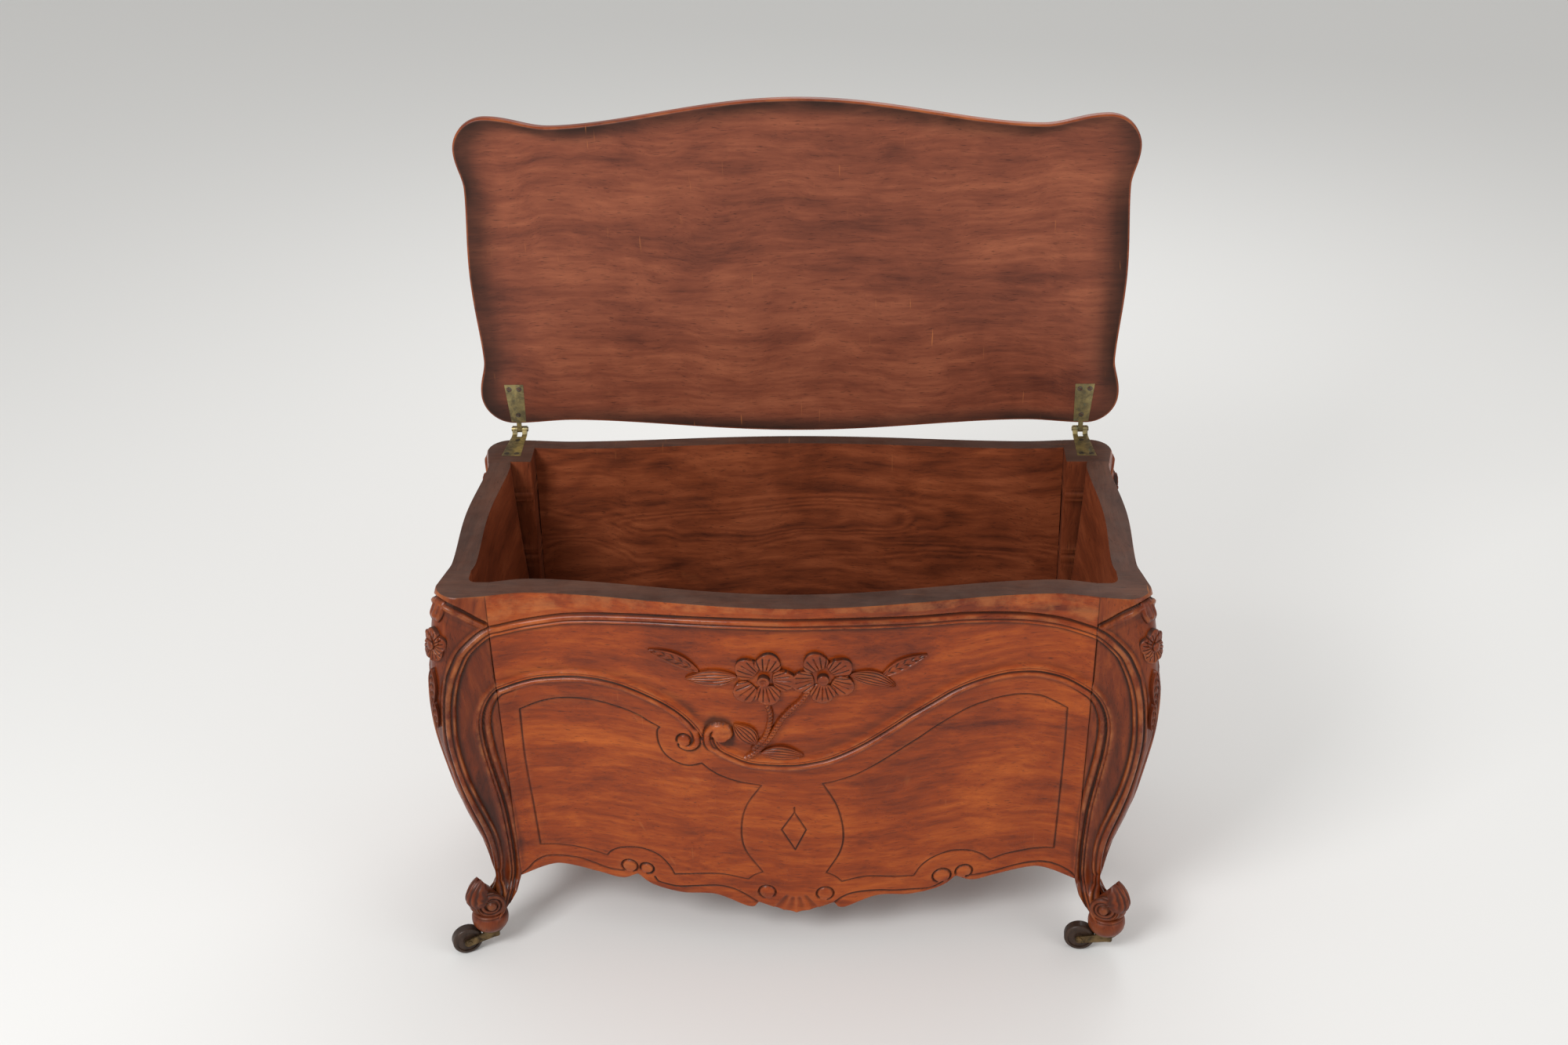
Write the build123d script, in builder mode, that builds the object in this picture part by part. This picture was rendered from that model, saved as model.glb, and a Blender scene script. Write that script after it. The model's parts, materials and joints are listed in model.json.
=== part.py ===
"""Cassone: a bowed and bombe walnut chest on scrolled feet and casters, with its lid standing open.

Millimetres, +Z up, floor at Z = 0. The carved front faces -Y, and +X is to the right of someone who
faces it. The carcass is four corner legs joined by four bowed walls, with a bottom board on battens.
The lid hangs on two cranked brass hinges, and each foot stands on a swivel caster.
"""

import os
from math import atan, cos, degrees, pi, radians, sin

from build123d import *

# ---------------------------------------------------------------- driving sizes
# Carcass
rim_height = 562.0  # top edge of the carcass above the floor
front_width = 856.0  # across the two front lobes of the rim
rear_narrowing = 16.0  # the rim is this much narrower across its two rear lobes
carcass_depth = 402.0  # front lobes to rear lobes
carcass_ahead = 21.0  # the carcass stands ahead of the origin, because the open lid leans back

# Rim outline: each edge swells at its middle, draws in to a waist, and meets a lobe at the corner
lobe_inset = 31.0  # from the widest point of a lobe to its foremost point
waist_inset = 82.0  # from a lobe's foremost point to the waist of the long edges
front_bow = 22.5
front_waist = 12.5
rear_bow = 11.0
rear_waist = 4.5
side_waist_inset = 50.0
side_bow = -3.0
side_waist = 9.0
swell_fullness = 0.85  # exponent of the cosine swell

# Bombe: how far each wall has drawn in where the recess ends, near the feet
front_setback = 38.0
side_setback = 30.0
rear_setback = 30.0
recess_end = 77.0  # height where the walls stop drawing in

# Walls
front_thickness = 32.0
side_thickness = 30.0
rear_thickness = 22.0
side_relief = 13.0  # the side walls' inner corners, trimmed clear of the front wall near the feet
joint_gap = 0.2  # glue line between a wall and its leg

# Legs
stile_width = 63.0  # from the widest point of a lobe to the leg's inner face
hollow_width = 20.0  # the front posts are hollowed inside to an L
hollow_depth = 262.0  # down from the rim
foot_inset = 20.0  # pad centre, in from the widest point of the lobe both ways
pad_height = 26.5
pad_radius = 24.5
pad_bottom_radius = 19.0
pad_top_radius = 21.5
pad_overlap = 3.0  # how far the ankle runs down into the pad
scroll_radius = 20.0
scroll_length = 31.0
scroll_rise = 19.0  # the scroll's axis above the top of the pad
eye_radius = 8.0
eye_proud = 2.5

# Cabriole shaft, from the rim to the apron in even steps: how far its corner stands outside the
# lobes both ways, and the radius of that corner
shaft_profile = (
    (0.0, 30.0),
    (9.5, 29.0),
    (14.0, 28.0),
    (17.0, 27.0),
    (18.0, 26.0),
    (17.5, 24.0),
    (15.0, 22.0),
    (10.5, 20.0),
    (5.5, 18.0),
    (0.5, 16.0),
    (-6.0, 14.0),
    (-14.0, 12.0),
    (-22.0, 10.0),
    (-28.0, 8.5),
    (-29.5, 8.0),
)
# Ankle, from the apron to the pad in even steps: the same two, and how far its inner corner has
# swept outwards
ankle_profile = (
    (-29.5, 8.0, 0.5),
    (-26.0, 9.0, 5.0),
    (-17.0, 11.0, 14.0),
    (-7.0, 14.0, 26.0),
)
ankle_lap = 1.0  # the ankle begins this far above the walls' lower edge

# Tenons, their middles as shares of the height from the walls' lower edge to the rim
tenon_length = 8.0
tenon_thickness = 9.0
tenon_height = 60.0
tenon_setback = 12.0  # centre of the tenon behind the wall's outer face
long_wall_tenons = (0.83, 0.53, 0.17)
side_wall_tenons = (0.72, 0.34)

# Apron
apron_joint_height = 99.0  # lower edge of every wall where it meets a leg
apron_drop = 40.0  # the middle of the front apron hangs this far below its ends
apron_blank = 10.0  # sawn off below the lowest point of the apron

# Floor of the chest
board_rise = 20.0  # underside of the bottom board, above the walls' lower edge at the legs
board_thickness = 12.0
board_gap = 1.0
batten_height = 10.0
batten_width = 20.0
batten_gap = 0.5
long_batten_inset = 16.0  # the battens stop this far short of the legs
side_batten_inset = 50.0

# Lid
lid_overhang = 12.0
lid_thickness = 20.0
lid_gap = 0.5  # above the rim when closed
lid_lean = 2.9  # degrees past upright when open
# Moulded edge of the lid: share of its thickness above its underside, inset from its widest line
lid_edge = (
    (0.0, 2.0),
    (0.2, 0.0),
    (0.6, 0.0),
    (0.85, 3.0),
    (1.0, 9.0),
)

# Hinges
hinge_inset = 34.0  # hinge centre, in from the widest point of the rear lobe
pivot_behind = 22.0  # pivot behind the rear lobes
pivot_rise = 5.0  # pivot above the rim
leaf_length = 68.0
leaf_thickness = 2.0
leaf_width = 26.0
leaf_neck_width = 20.0
leaf_end_gap = 13.0  # where the full leaf stops short of the pivot
knuckle_radius = 4.5
knuckle_gap = 0.25
pin_radius = 2.2
pin_head_overhang = 1.0
pin_head_thickness = 1.0
running_gap = 0.05
seat_gap = 0.1
hinge_screw_radius = 1.6
hinge_screw_head_radius = 3.6
hinge_screw_length = 14.0
hinge_screw_spacing = 13.5  # between the two screws at the far end of a leaf
hinge_screw_end = 7.0  # those two, in from the far end
neck_screw_place = 23.0  # the third screw, from the pivot
screw_slot_width = 0.9
screw_slot_depth = 0.7
screw_slot_turn = 35.0

# Casters
wheel_radius = 20.0
wheel_width = 15.0
wheel_edge_radius = 3.5
wheel_dish = 1.5
wheel_tread = 5.0  # between the wheel's edge and its dish
wheel_boss_radius = 6.5
wheel_clearance = 5.0  # between the wheel and the block of the horn
axle_radius = 3.0
axle_head_radius = 4.5
axle_head_length = 1.3
axle_head_taper = 20.0
horn_cheek_thickness = 2.5
horn_side_gap = 0.8
horn_boss_radius = 5.5
horn_block_height = 11.2
horn_wall = 5.0  # round the swivel pin
horn_corner_radius = 4.0
swivel_gap = 0.3
plate_radius = 17.0
plate_thickness = 3.0
swivel_pin_radius = 4.0
swivel_head_radius = 6.5
swivel_head_height = 2.0
stem_radius = 4.5
stem_length = 18.0
plate_screw_circle = 12.0
plate_screw_radius = 1.2
plate_screw_head_radius = 2.4
plate_screw_length = 10.0
plate_screw_turns = (90.0, 210.0, 330.0)
# direction in which each caster trails, about +Z from +X
trail_angles = {"front_left": 203.0, "front_right": 175.0, "rear_left": 160.0, "rear_right": 188.0}

# ---------------------------------------------------------------- worked-out places
front_half = front_width / 2
rear_half = (front_width - rear_narrowing) / 2
front_y = -carcass_depth / 2 - carcass_ahead
rear_y = carcass_depth / 2 - carcass_ahead
pivot_y = rear_y + pivot_behind
pivot_z = rim_height + pivot_rise
hinge_x = rear_half - hinge_inset

# The casters stack up from the floor: horn on the axle's level, plate above it, then the pad
horn_bottom = wheel_radius
horn_top = horn_bottom + horn_block_height
horn_half_length = swivel_pin_radius + horn_wall
horn_half_width = wheel_width / 2 + horn_side_gap + horn_cheek_thickness
caster_trail = horn_half_length + wheel_clearance + wheel_radius
plate_bottom = horn_top + swivel_gap
swivel_pin_bottom = horn_bottom - swivel_gap - swivel_head_height
pad_bottom = plate_bottom + plate_thickness
pad_top = pad_bottom + pad_height
board_height = apron_joint_height + board_rise

lid_frame = Plane(
    origin=(0, pivot_y, pivot_z),
    x_dir=(1, 0, 0),
    z_dir=(0, cos(radians(lid_lean)), -sin(radians(lid_lean))),
)
closed_frame = Plane(origin=(0, pivot_y, pivot_z), x_dir=(1, 0, 0), z_dir=(0, 0, 1))

os.makedirs("parts", exist_ok=True)


def keep(piece, name):
    """Labels a finished piece and writes it to its own file."""
    piece.label = name
    export_step(piece, f"parts/{name}.step")


# ---------------------------------------------------------------- shared shapes
def swell(along, lobe, waist_at, bow, waist):
    """How far an edge stands outside its lobes, at a distance along from its middle."""
    along = abs(along)
    if along <= waist_at:
        rise = ((1 + cos(pi * along / waist_at)) / 2) ** swell_fullness
        return (bow + waist) * rise - waist
    past = min((along - waist_at) / (lobe - waist_at), 1.0)
    return -waist * (1 + cos(pi * past)) / 2


def recess(height, setback):
    """How far a wall has drawn in at a height, from nothing at the rim."""
    down = (rim_height - height) / (rim_height - recess_end)
    curved = min(down, 1.0)
    return setback * (down + curved * curved * (3 - 2 * curved)) / 2


def front_face(x, height):
    """Y of the front wall's outer face."""
    lobe = front_half - lobe_inset
    out = swell(x, lobe, lobe - waist_inset, front_bow, front_waist)
    return front_y - out + recess(height, front_setback)


def rear_face(x, height):
    """Y of the back wall's outer face."""
    lobe = rear_half - lobe_inset
    out = swell(x, lobe, lobe - waist_inset, rear_bow, rear_waist)
    return rear_y + out - recess(height, rear_setback)


def side_face(y, height):
    """Distance of a side wall's outer face from the chest's middle plane."""
    front_lobe_y = front_y + lobe_inset
    rear_lobe_y = rear_y - lobe_inset
    middle = (front_lobe_y + rear_lobe_y) / 2
    half = (rear_lobe_y - front_lobe_y) / 2
    across = (y - front_lobe_y) / (rear_lobe_y - front_lobe_y)
    across = min(max(across, 0.0), 1.0)
    lobe_line = front_half + (rear_half - front_half) * across
    out = swell(y - middle, half, half - side_waist_inset, side_bow, side_waist)
    return lobe_line + out - recess(height, side_setback)


def joint_x(back):
    """Where a long wall meets a leg, as a distance from the middle plane."""
    return (rear_half if back else front_half) - stile_width


def joint_y(back):
    """Where a side wall meets the front or the rear leg."""
    return rear_y - stile_width if back else front_y + stile_width


def steps(low, high, count):
    """Evenly spaced values from low to high."""
    return [low + (high - low) * i / (count - 1) for i in range(count)]


def plate_screw_places():
    """Three screws round a caster plate, from its centre."""
    return [
        (plate_screw_circle * cos(radians(angle)), plate_screw_circle * sin(radians(angle)))
        for angle in plate_screw_turns
    ]


def foot_place(right, back):
    """Centre of a foot on the floor."""
    half = rear_half if back else front_half
    x = half - foot_inset
    y = rear_y - foot_inset if back else front_y + foot_inset
    return (x if right else -x, y)


def countersink_taper(head_radius, shank_radius, depth):
    """Half angle of a countersunk head that narrows to its shank over a depth."""
    return degrees(atan((head_radius - shank_radius) / depth))


wall_stations = steps(rim_height, apron_joint_height - apron_drop - apron_blank, 12)


# ---------------------------------------------------------------- walls
# Each wall is written in its own frame: u runs along it, v runs inwards, and Z is up.
class Wall:
    """One wall of the carcass: its frame, its ends and its outer face."""

    def __init__(self, name, u_dir, ends, face, thickness, relief, tenons):
        self.name = name
        self.plane = Plane(origin=(0, 0, 0), x_dir=u_dir, z_dir=(0, 0, 1))
        self.low, self.high = ends
        self.face = face
        self.thickness = thickness
        self.relief = relief  # how far the inner face stops short of the legs near the feet
        wall_height = rim_height - apron_joint_height
        self.tenon_heights = [apron_joint_height + share * wall_height for share in tenons]

    def place(self, u, v):
        """A point of this wall's frame in the chest's own X and Y."""
        point = self.plane.x_dir * u + self.plane.y_dir * v
        return point.X, point.Y

    def line(self, height, depth, margin, count=13):
        """Points along the wall at a depth behind its outer face, stopping short of both ends."""
        stretch = steps(self.low + margin, self.high - margin, count)
        return [self.place(u, self.face(u, height) + depth) for u in stretch]


walls = {
    "front": Wall(
        "front_panel",
        (1, 0, 0),
        (-joint_x(False), joint_x(False)),
        front_face,
        front_thickness,
        0,
        long_wall_tenons,
    ),
    "back": Wall(
        "back_panel",
        (-1, 0, 0),
        (-joint_x(True), joint_x(True)),
        lambda u, height: -rear_face(-u, height),
        rear_thickness,
        0,
        long_wall_tenons,
    ),
    "right": Wall(
        "right_side_panel",
        (0, 1, 0),
        (joint_y(False), joint_y(True)),
        lambda u, height: -side_face(u, height),
        side_thickness,
        side_relief,
        side_wall_tenons,
    ),
    "left": Wall(
        "left_side_panel",
        (0, -1, 0),
        (-joint_y(True), -joint_y(False)),
        lambda u, height: -side_face(-u, height),
        side_thickness,
        side_relief,
        side_wall_tenons,
    ),
}


# Half of each apron's lower edge, from its joint to the middle, in runs between notches: share of
# the half length, and height above the joint
front_apron = (
    ((1.0, 0), (0.89, 13), (0.83, 13), (0.72, 3), (0.635, -4), (0.575, 6)),
    ((0.575, 6), (0.52, -10), (0.415, -18), (0.29, -15), (0.17, 8 - apron_drop), (0.135, 17 - apron_drop)),
    ((0.135, 17 - apron_drop), (0.055, 5.5 - apron_drop), (0, -apron_drop)),
)
plain_apron = (((1.0, 0), (0.78, 12), (0.42, -2), (0, -14)),)


def make_wall(wall, apron):
    """A bowed and bombe wall with a scalloped lower edge and a row of tenons at each end."""
    with BuildPart() as panel:
        for height in wall_stations:
            outer = wall.line(height, 0, joint_gap)
            inner = wall.line(height, wall.thickness, joint_gap + recess(height, wall.relief))[::-1]
            with BuildSketch(Plane.XY.offset(height)):
                with BuildLine():
                    Spline(*outer)
                    Line(outer[-1], inner[0])
                    Spline(*inner)
                    Line(inner[-1], outer[0])
                make_face()
        loft()
        # the scalloped apron is sawn through the wall
        middle = (wall.low + wall.high) / 2
        half = (wall.high - wall.low) / 2
        beyond = half + stile_width
        elevation = Plane(
            origin=wall.plane.from_local_coords((middle, 0, 0)),
            x_dir=wall.plane.x_dir,
            z_dir=-wall.plane.y_dir,
        )
        with BuildSketch(elevation):
            with BuildLine():
                for side in (-1, 1):
                    for run in apron:
                        Spline(*[(side * share * half, apron_joint_height + rise) for share, rise in run])
                    Line((side * half, apron_joint_height), (side * beyond, apron_joint_height))
                    Line((side * beyond, apron_joint_height), (side * beyond, 0))
                Line((-beyond, 0), (beyond, 0))
            make_face()
        extrude(amount=front_width, both=True, mode=Mode.SUBTRACT)
        for height in wall.tenon_heights:
            with Locations(*tenon_places(wall, height)):
                Box(
                    2 * tenon_length,
                    tenon_thickness,
                    tenon_height,
                    rotation=(0, 0, wall_turn(wall)),
                )
    return panel.part


def wall_turn(wall):
    """Angle of a wall's run about Z."""
    return 90 if abs(wall.plane.x_dir.Y) > 0.5 else 0


def tenon_places(wall, height):
    """Centres of the two tenons of a wall at one height."""
    places = []
    for end in (wall.low, wall.high):
        v = wall.face(end, height) + tenon_setback
        places.append((*wall.place(end, v), height))
    return places


for key, wall in walls.items():
    keep(make_wall(wall, front_apron if key == "front" else plain_apron), wall.name)


# ---------------------------------------------------------------- legs
ankle_top = apron_joint_height + ankle_lap
shaft_heights = steps(rim_height, ankle_top, len(shaft_profile))
ankle_heights = steps(ankle_top, pad_top - pad_overlap, len(ankle_profile))


def leg_section(height, out, radius, sweep, right, back):
    """A leg's outline at a height. Sweep moves its inner corner out and squares the section."""
    half = rear_half if back else front_half
    outward = 1 if back else -1
    inner_x = joint_x(back) + sweep
    inner_y = joint_y(back) + outward * sweep
    corner_x = half + out
    corner_y = (rear_y if back else front_y) + outward * out
    face_y = (rear_face if back else front_face)(inner_x, height)
    side_x = side_face(inner_y, height)
    if sweep > 0:
        face_y = corner_y
        side_x = corner_x
    middle = radius * (1 - cos(pi / 4))
    sign = 1 if right else -1
    points = (
        (inner_x, inner_y),
        (inner_x, face_y),
        (corner_x - radius, corner_y),
        (corner_x - middle, corner_y - outward * middle),
        (corner_x, corner_y - outward * radius),
        (side_x, inner_y),
    )
    inner, face, start, bend, end, side = [(sign * x, y) for x, y in points]
    with BuildSketch(Plane.XY.offset(height)) as section:
        with BuildLine():
            Line(inner, face)
            Line(face, start)
            ThreePointArc(start, bend, end)
            Line(end, side)
            Line(side, inner)
        make_face()
    return section.sketch.face()


def make_leg(right, back):
    """One corner leg: stile, shoulder, cabriole shaft, scroll and pad in one piece of wood."""
    sign = 1 if right else -1
    outward = 1 if back else -1
    foot = foot_place(right, back)
    key = "back" if back else "front"
    side_key = "right" if right else "left"
    shaft = [
        leg_section(height, out, radius, 0, right, back)
        for height, (out, radius) in zip(shaft_heights, shaft_profile)
    ]
    ankle = [
        leg_section(height, out, radius, sweep, right, back)
        for height, (out, radius, sweep) in zip(ankle_heights, ankle_profile)
    ]
    with BuildPart() as leg:
        loft(shaft)
        loft(ankle)
        # turned pad
        with BuildSketch(Plane(origin=(*foot, 0), x_dir=(1, 0, 0), z_dir=(0, -1, 0))):
            with BuildLine():
                base = (pad_bottom_radius, pad_bottom)
                widest = (pad_radius, (pad_bottom + pad_top) / 2)
                top = (pad_top_radius, pad_top)
                Line((0, pad_bottom), base)
                Spline(base, widest, top)
                Line(top, (0, pad_top))
                Line((0, pad_top), (0, pad_bottom))
            make_face()
        revolve(axis=Axis((*foot, 0), (0, 0, 1)))
        # scroll, its roll lying square to the leg's outward diagonal
        roll_axis = (sign, -outward, 0)
        roll = Plane(origin=(*foot, pad_top + scroll_rise), x_dir=(0, 0, 1), z_dir=roll_axis)
        with BuildSketch(roll):
            Circle(scroll_radius)
        extrude(amount=scroll_length / 2, both=True)
        with BuildSketch(roll):
            Circle(eye_radius)
        extrude(amount=scroll_length / 2 + eye_proud, both=True)
        # mortises for the tenons of both walls
        for wall in (walls[key], walls[side_key]):
            for height in wall.tenon_heights:
                with Locations(*tenon_places(wall, height)):
                    Box(
                        2 * (tenon_length + joint_gap),
                        tenon_thickness + 2 * joint_gap,
                        tenon_height + 2 * joint_gap,
                        rotation=(0, 0, wall_turn(wall)),
                        mode=Mode.SUBTRACT,
                    )
        # bore for the caster's stem
        with Locations((*foot, pad_bottom)):
            Cylinder(
                stem_radius + seat_gap,
                stem_length + seat_gap,
                align=(Align.CENTER, Align.CENTER, Align.MIN),
                mode=Mode.SUBTRACT,
            )
        for screw_x, screw_y in plate_screw_places():
            with Locations((foot[0] + screw_x, foot[1] + screw_y, pad_bottom)):
                Cylinder(
                    plate_screw_radius + seat_gap,
                    plate_screw_length + seat_gap,
                    align=(Align.CENTER, Align.CENTER, Align.MIN),
                    mode=Mode.SUBTRACT,
                )
        if back:
            # recess and screw holes for the lower hinge leaf
            hinge = hinge_plane(closed_frame, sign)
            bed = leaf_recess(hinge, sign, -pivot_rise - leaf_thickness - seat_gap)
            extrude(bed, amount=leaf_thickness + pivot_rise, mode=Mode.SUBTRACT)
            holes = leaf_screw_holes(hinge, sign, -pivot_rise)
            extrude(holes, amount=-hinge_screw_length - seat_gap, mode=Mode.SUBTRACT)
        else:
            with Locations((sign * joint_x(False), joint_y(False), rim_height)):
                Box(2 * hollow_width, 2 * hollow_width, 2 * hollow_depth, mode=Mode.SUBTRACT)
    return leg.part


# ---------------------------------------------------------------- hinges
def hinge_plane(frame, sign):
    """A hinge's own frame: origin on the pivot, x along it, y towards the back of the closed lid."""
    return Plane(
        origin=frame.from_local_coords((sign * hinge_x, 0, 0)),
        x_dir=frame.x_dir,
        z_dir=frame.z_dir,
    )


def leaf_outline(sign, grow):
    """Corners of a leaf, tapered on its outer edge towards the knuckle."""
    inner = -sign * (leaf_width / 2 + grow)
    outer = sign * (leaf_width / 2 + grow)
    neck = sign * (leaf_neck_width - leaf_width / 2 + grow)
    near = -leaf_end_gap
    far = -leaf_length - grow
    return ((inner, near), (inner, far), (outer, far), (neck, near))


def leaf_screw_places(sign):
    """Two screws near the leaf's far end and one near its neck."""
    neck_middle = sign * (leaf_neck_width - leaf_width) / 2
    return (
        (-hinge_screw_spacing / 2, -leaf_length + hinge_screw_end),
        (hinge_screw_spacing / 2, -leaf_length + hinge_screw_end),
        (neck_middle, -neck_screw_place),
    )


def leaf_recess(hinge, sign, height):
    """Outline of the recess that a leaf lies in, open towards the pivot."""
    corners = leaf_outline(sign, seat_gap)
    with BuildSketch(hinge.offset(height)) as recess_outline:
        with BuildLine():
            Polyline(*corners, (corners[3][0], 0), (corners[0][0], 0), close=True)
        make_face()
    return recess_outline.sketch


def leaf_screw_holes(hinge, sign, height):
    """The round mouths of the holes for a leaf's screws."""
    with BuildSketch(hinge.offset(height)) as mouths:
        with Locations(*leaf_screw_places(sign)):
            Circle(hinge_screw_radius + seat_gap)
    return mouths.sketch


def knuckle_spans(middle):
    """The stretches of the pivot that one leaf's knuckles cover."""
    length = leaf_neck_width / 3
    if middle:
        return ((-length / 2 + knuckle_gap / 2, length / 2 - knuckle_gap / 2),)
    edge = leaf_neck_width / 2
    return ((-edge, -length / 2 - knuckle_gap / 2), (length / 2 + knuckle_gap / 2, edge))


def make_leaf(frame, sign, height, middle, screw_side):
    """A hinge leaf: tapered plate, cranked neck and knuckles, countersunk for its screws."""
    hinge = hinge_plane(frame, sign)
    shift = sign * (leaf_neck_width - leaf_width) / 2
    # the neck bends off the plate halfway to the pivot, and meets the knuckle behind and below
    neck = (
        (-leaf_end_gap, height),
        (-leaf_end_gap / 2, height),
        (0, -knuckle_radius),
        (-knuckle_radius, 0),
        (-leaf_end_gap / 2, height + leaf_thickness),
        (-leaf_end_gap, height + leaf_thickness),
    )
    face = height if screw_side < 0 else height + leaf_thickness
    taper = countersink_taper(hinge_screw_head_radius, hinge_screw_radius, leaf_thickness)
    with BuildPart() as leaf:
        with BuildSketch(hinge.offset(height)):
            with BuildLine():
                Polyline(*leaf_outline(sign, 0), close=True)
            make_face()
        extrude(amount=leaf_thickness)
        for low, high in knuckle_spans(middle):
            across = Plane(
                origin=hinge.from_local_coords((shift + low, 0, 0)),
                x_dir=hinge.y_dir,
                z_dir=hinge.x_dir,
            )
            with BuildSketch(across):
                Circle(knuckle_radius)
                with BuildLine():
                    Polyline(*neck, close=True)
                make_face()
                Circle(pin_radius + running_gap, mode=Mode.SUBTRACT)
            extrude(amount=high - low)
        with BuildSketch(hinge.offset(face)):
            with Locations(*leaf_screw_places(sign)):
                Circle(hinge_screw_head_radius + seat_gap)
        extrude(amount=-screw_side * leaf_thickness, taper=taper, mode=Mode.SUBTRACT)
    return leaf.part


def make_leaf_screws(frame, sign, face, direction):
    """The three slotted countersunk screws of a leaf."""
    hinge = hinge_plane(frame, sign)
    taper = countersink_taper(hinge_screw_head_radius, hinge_screw_radius, leaf_thickness)
    with BuildPart() as screws:
        with BuildSketch(hinge.offset(face)):
            with Locations(*leaf_screw_places(sign)):
                Circle(hinge_screw_head_radius)
        extrude(amount=direction * leaf_thickness, taper=taper)
        with BuildSketch(hinge.offset(face)):
            with Locations(*leaf_screw_places(sign)):
                Circle(hinge_screw_radius)
        extrude(amount=direction * hinge_screw_length)
        with BuildSketch(hinge.offset(face)):
            with Locations(*leaf_screw_places(sign)):
                Rectangle(3 * hinge_screw_head_radius, screw_slot_width, rotation=screw_slot_turn)
        extrude(amount=direction * screw_slot_depth, mode=Mode.SUBTRACT)
    return screws.part


def make_hinge_pin(sign):
    """A hinge pin with a small head at each end."""
    hinge = hinge_plane(closed_frame, sign)
    half = leaf_neck_width / 2 + knuckle_gap
    shift = sign * (leaf_neck_width - leaf_width) / 2
    across = Plane(
        origin=hinge.from_local_coords((shift, 0, 0)), x_dir=hinge.y_dir, z_dir=hinge.x_dir
    )
    with BuildPart() as pin:
        with BuildSketch(across):
            Circle(pin_radius)
        extrude(amount=half, both=True)
        for end in (-1, 1):
            with BuildSketch(across.offset(end * half)):
                Circle(pin_radius + pin_head_overhang)
            extrude(amount=end * pin_head_thickness)
    return pin.part


lid_underside = lid_gap - pivot_rise  # above the pivot, with the lid closed
for sign, side in ((-1, "left"), (1, "right")):
    keep(make_leaf(closed_frame, sign, -pivot_rise - leaf_thickness, False, 1), f"{side}_hinge_lower_leaf")
    keep(make_leaf(lid_frame, sign, lid_underside, True, -1), f"{side}_hinge_upper_leaf")
    keep(make_hinge_pin(sign), f"{side}_hinge_pin")
    keep(make_leaf_screws(closed_frame, sign, -pivot_rise, -1), f"{side}_hinge_lower_screws")
    keep(make_leaf_screws(lid_frame, sign, lid_underside, 1), f"{side}_hinge_upper_screws")


# ---------------------------------------------------------------- casters
def make_caster_plate(foot):
    """Round plate with the stem that goes up into the pad and the pin that the horn turns on."""
    under = Plane(origin=(*foot, plate_bottom))
    taper = countersink_taper(plate_screw_head_radius, plate_screw_radius, plate_thickness)
    with BuildPart() as plate:
        with BuildSketch(under):
            Circle(plate_radius)
        extrude(amount=plate_thickness)
        with BuildSketch(under):
            Circle(stem_radius)
        extrude(amount=plate_thickness + stem_length)
        with BuildSketch(under):
            Circle(swivel_pin_radius)
        extrude(amount=swivel_pin_bottom - plate_bottom)
        with BuildSketch(Plane(origin=(*foot, swivel_pin_bottom))):
            Circle(swivel_head_radius)
        extrude(amount=swivel_head_height)
        with BuildSketch(under):
            with Locations(*plate_screw_places()):
                Circle(plate_screw_head_radius + seat_gap)
        extrude(amount=plate_thickness, taper=taper, mode=Mode.SUBTRACT)
    return plate.part


def make_plate_screws(foot):
    """The three countersunk screws that hold a caster plate."""
    under = Plane(origin=(*foot, plate_bottom))
    taper = countersink_taper(plate_screw_head_radius, plate_screw_radius, plate_thickness)
    with BuildPart() as screws:
        with BuildSketch(under):
            with Locations(*plate_screw_places()):
                Circle(plate_screw_head_radius)
        extrude(amount=plate_thickness, taper=taper)
        with BuildSketch(under):
            with Locations(*plate_screw_places()):
                Circle(plate_screw_radius)
        extrude(amount=plate_thickness + plate_screw_length)
    return screws.part


def caster_frame(foot, angle):
    """A caster's frame: origin on the swivel axis at axle height, x towards the axle."""
    along = (cos(radians(angle)), sin(radians(angle)), 0)
    return Plane(origin=(*foot, wheel_radius), x_dir=along, z_dir=(0, 0, 1))


def caster_side(frame):
    """The upright plane through the swivel axis and the wheel's middle."""
    return Plane(origin=frame.origin, x_dir=frame.x_dir, z_dir=-frame.y_dir)


def make_horn(frame):
    """The forked horn: a block round the swivel pin with two cheeks reaching back to the axle."""
    side = caster_side(frame)
    low = horn_bottom - wheel_radius
    high = horn_top - wheel_radius
    with BuildPart() as horn:
        with BuildSketch(side):
            with Locations((0, (low + high) / 2)):
                Rectangle(2 * horn_half_length, high - low)
        extrude(amount=horn_half_width, both=True)
        fillet(horn.edges().filter_by(Axis.Z), radius=horn_corner_radius)
        for face in (-1, 1):
            start = face * (horn_half_width - horn_cheek_thickness)
            with BuildSketch(side.offset(start)):
                with BuildLine():
                    Polyline(
                        (0, high),
                        (horn_half_length, high),
                        (caster_trail, 0.95 * horn_boss_radius),
                        (caster_trail, -0.95 * horn_boss_radius),
                        (0, low),
                        close=True,
                    )
                make_face()
                with Locations((caster_trail, 0)):
                    Circle(horn_boss_radius)
            extrude(amount=face * horn_cheek_thickness)
        with BuildSketch(side):
            with Locations((caster_trail, 0)):
                Circle(axle_radius + running_gap)
        extrude(amount=2 * horn_half_width, both=True, mode=Mode.SUBTRACT)
        with BuildSketch(frame):
            Circle(swivel_pin_radius + running_gap)
        extrude(amount=wheel_radius, both=True, mode=Mode.SUBTRACT)
    return horn.part


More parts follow.
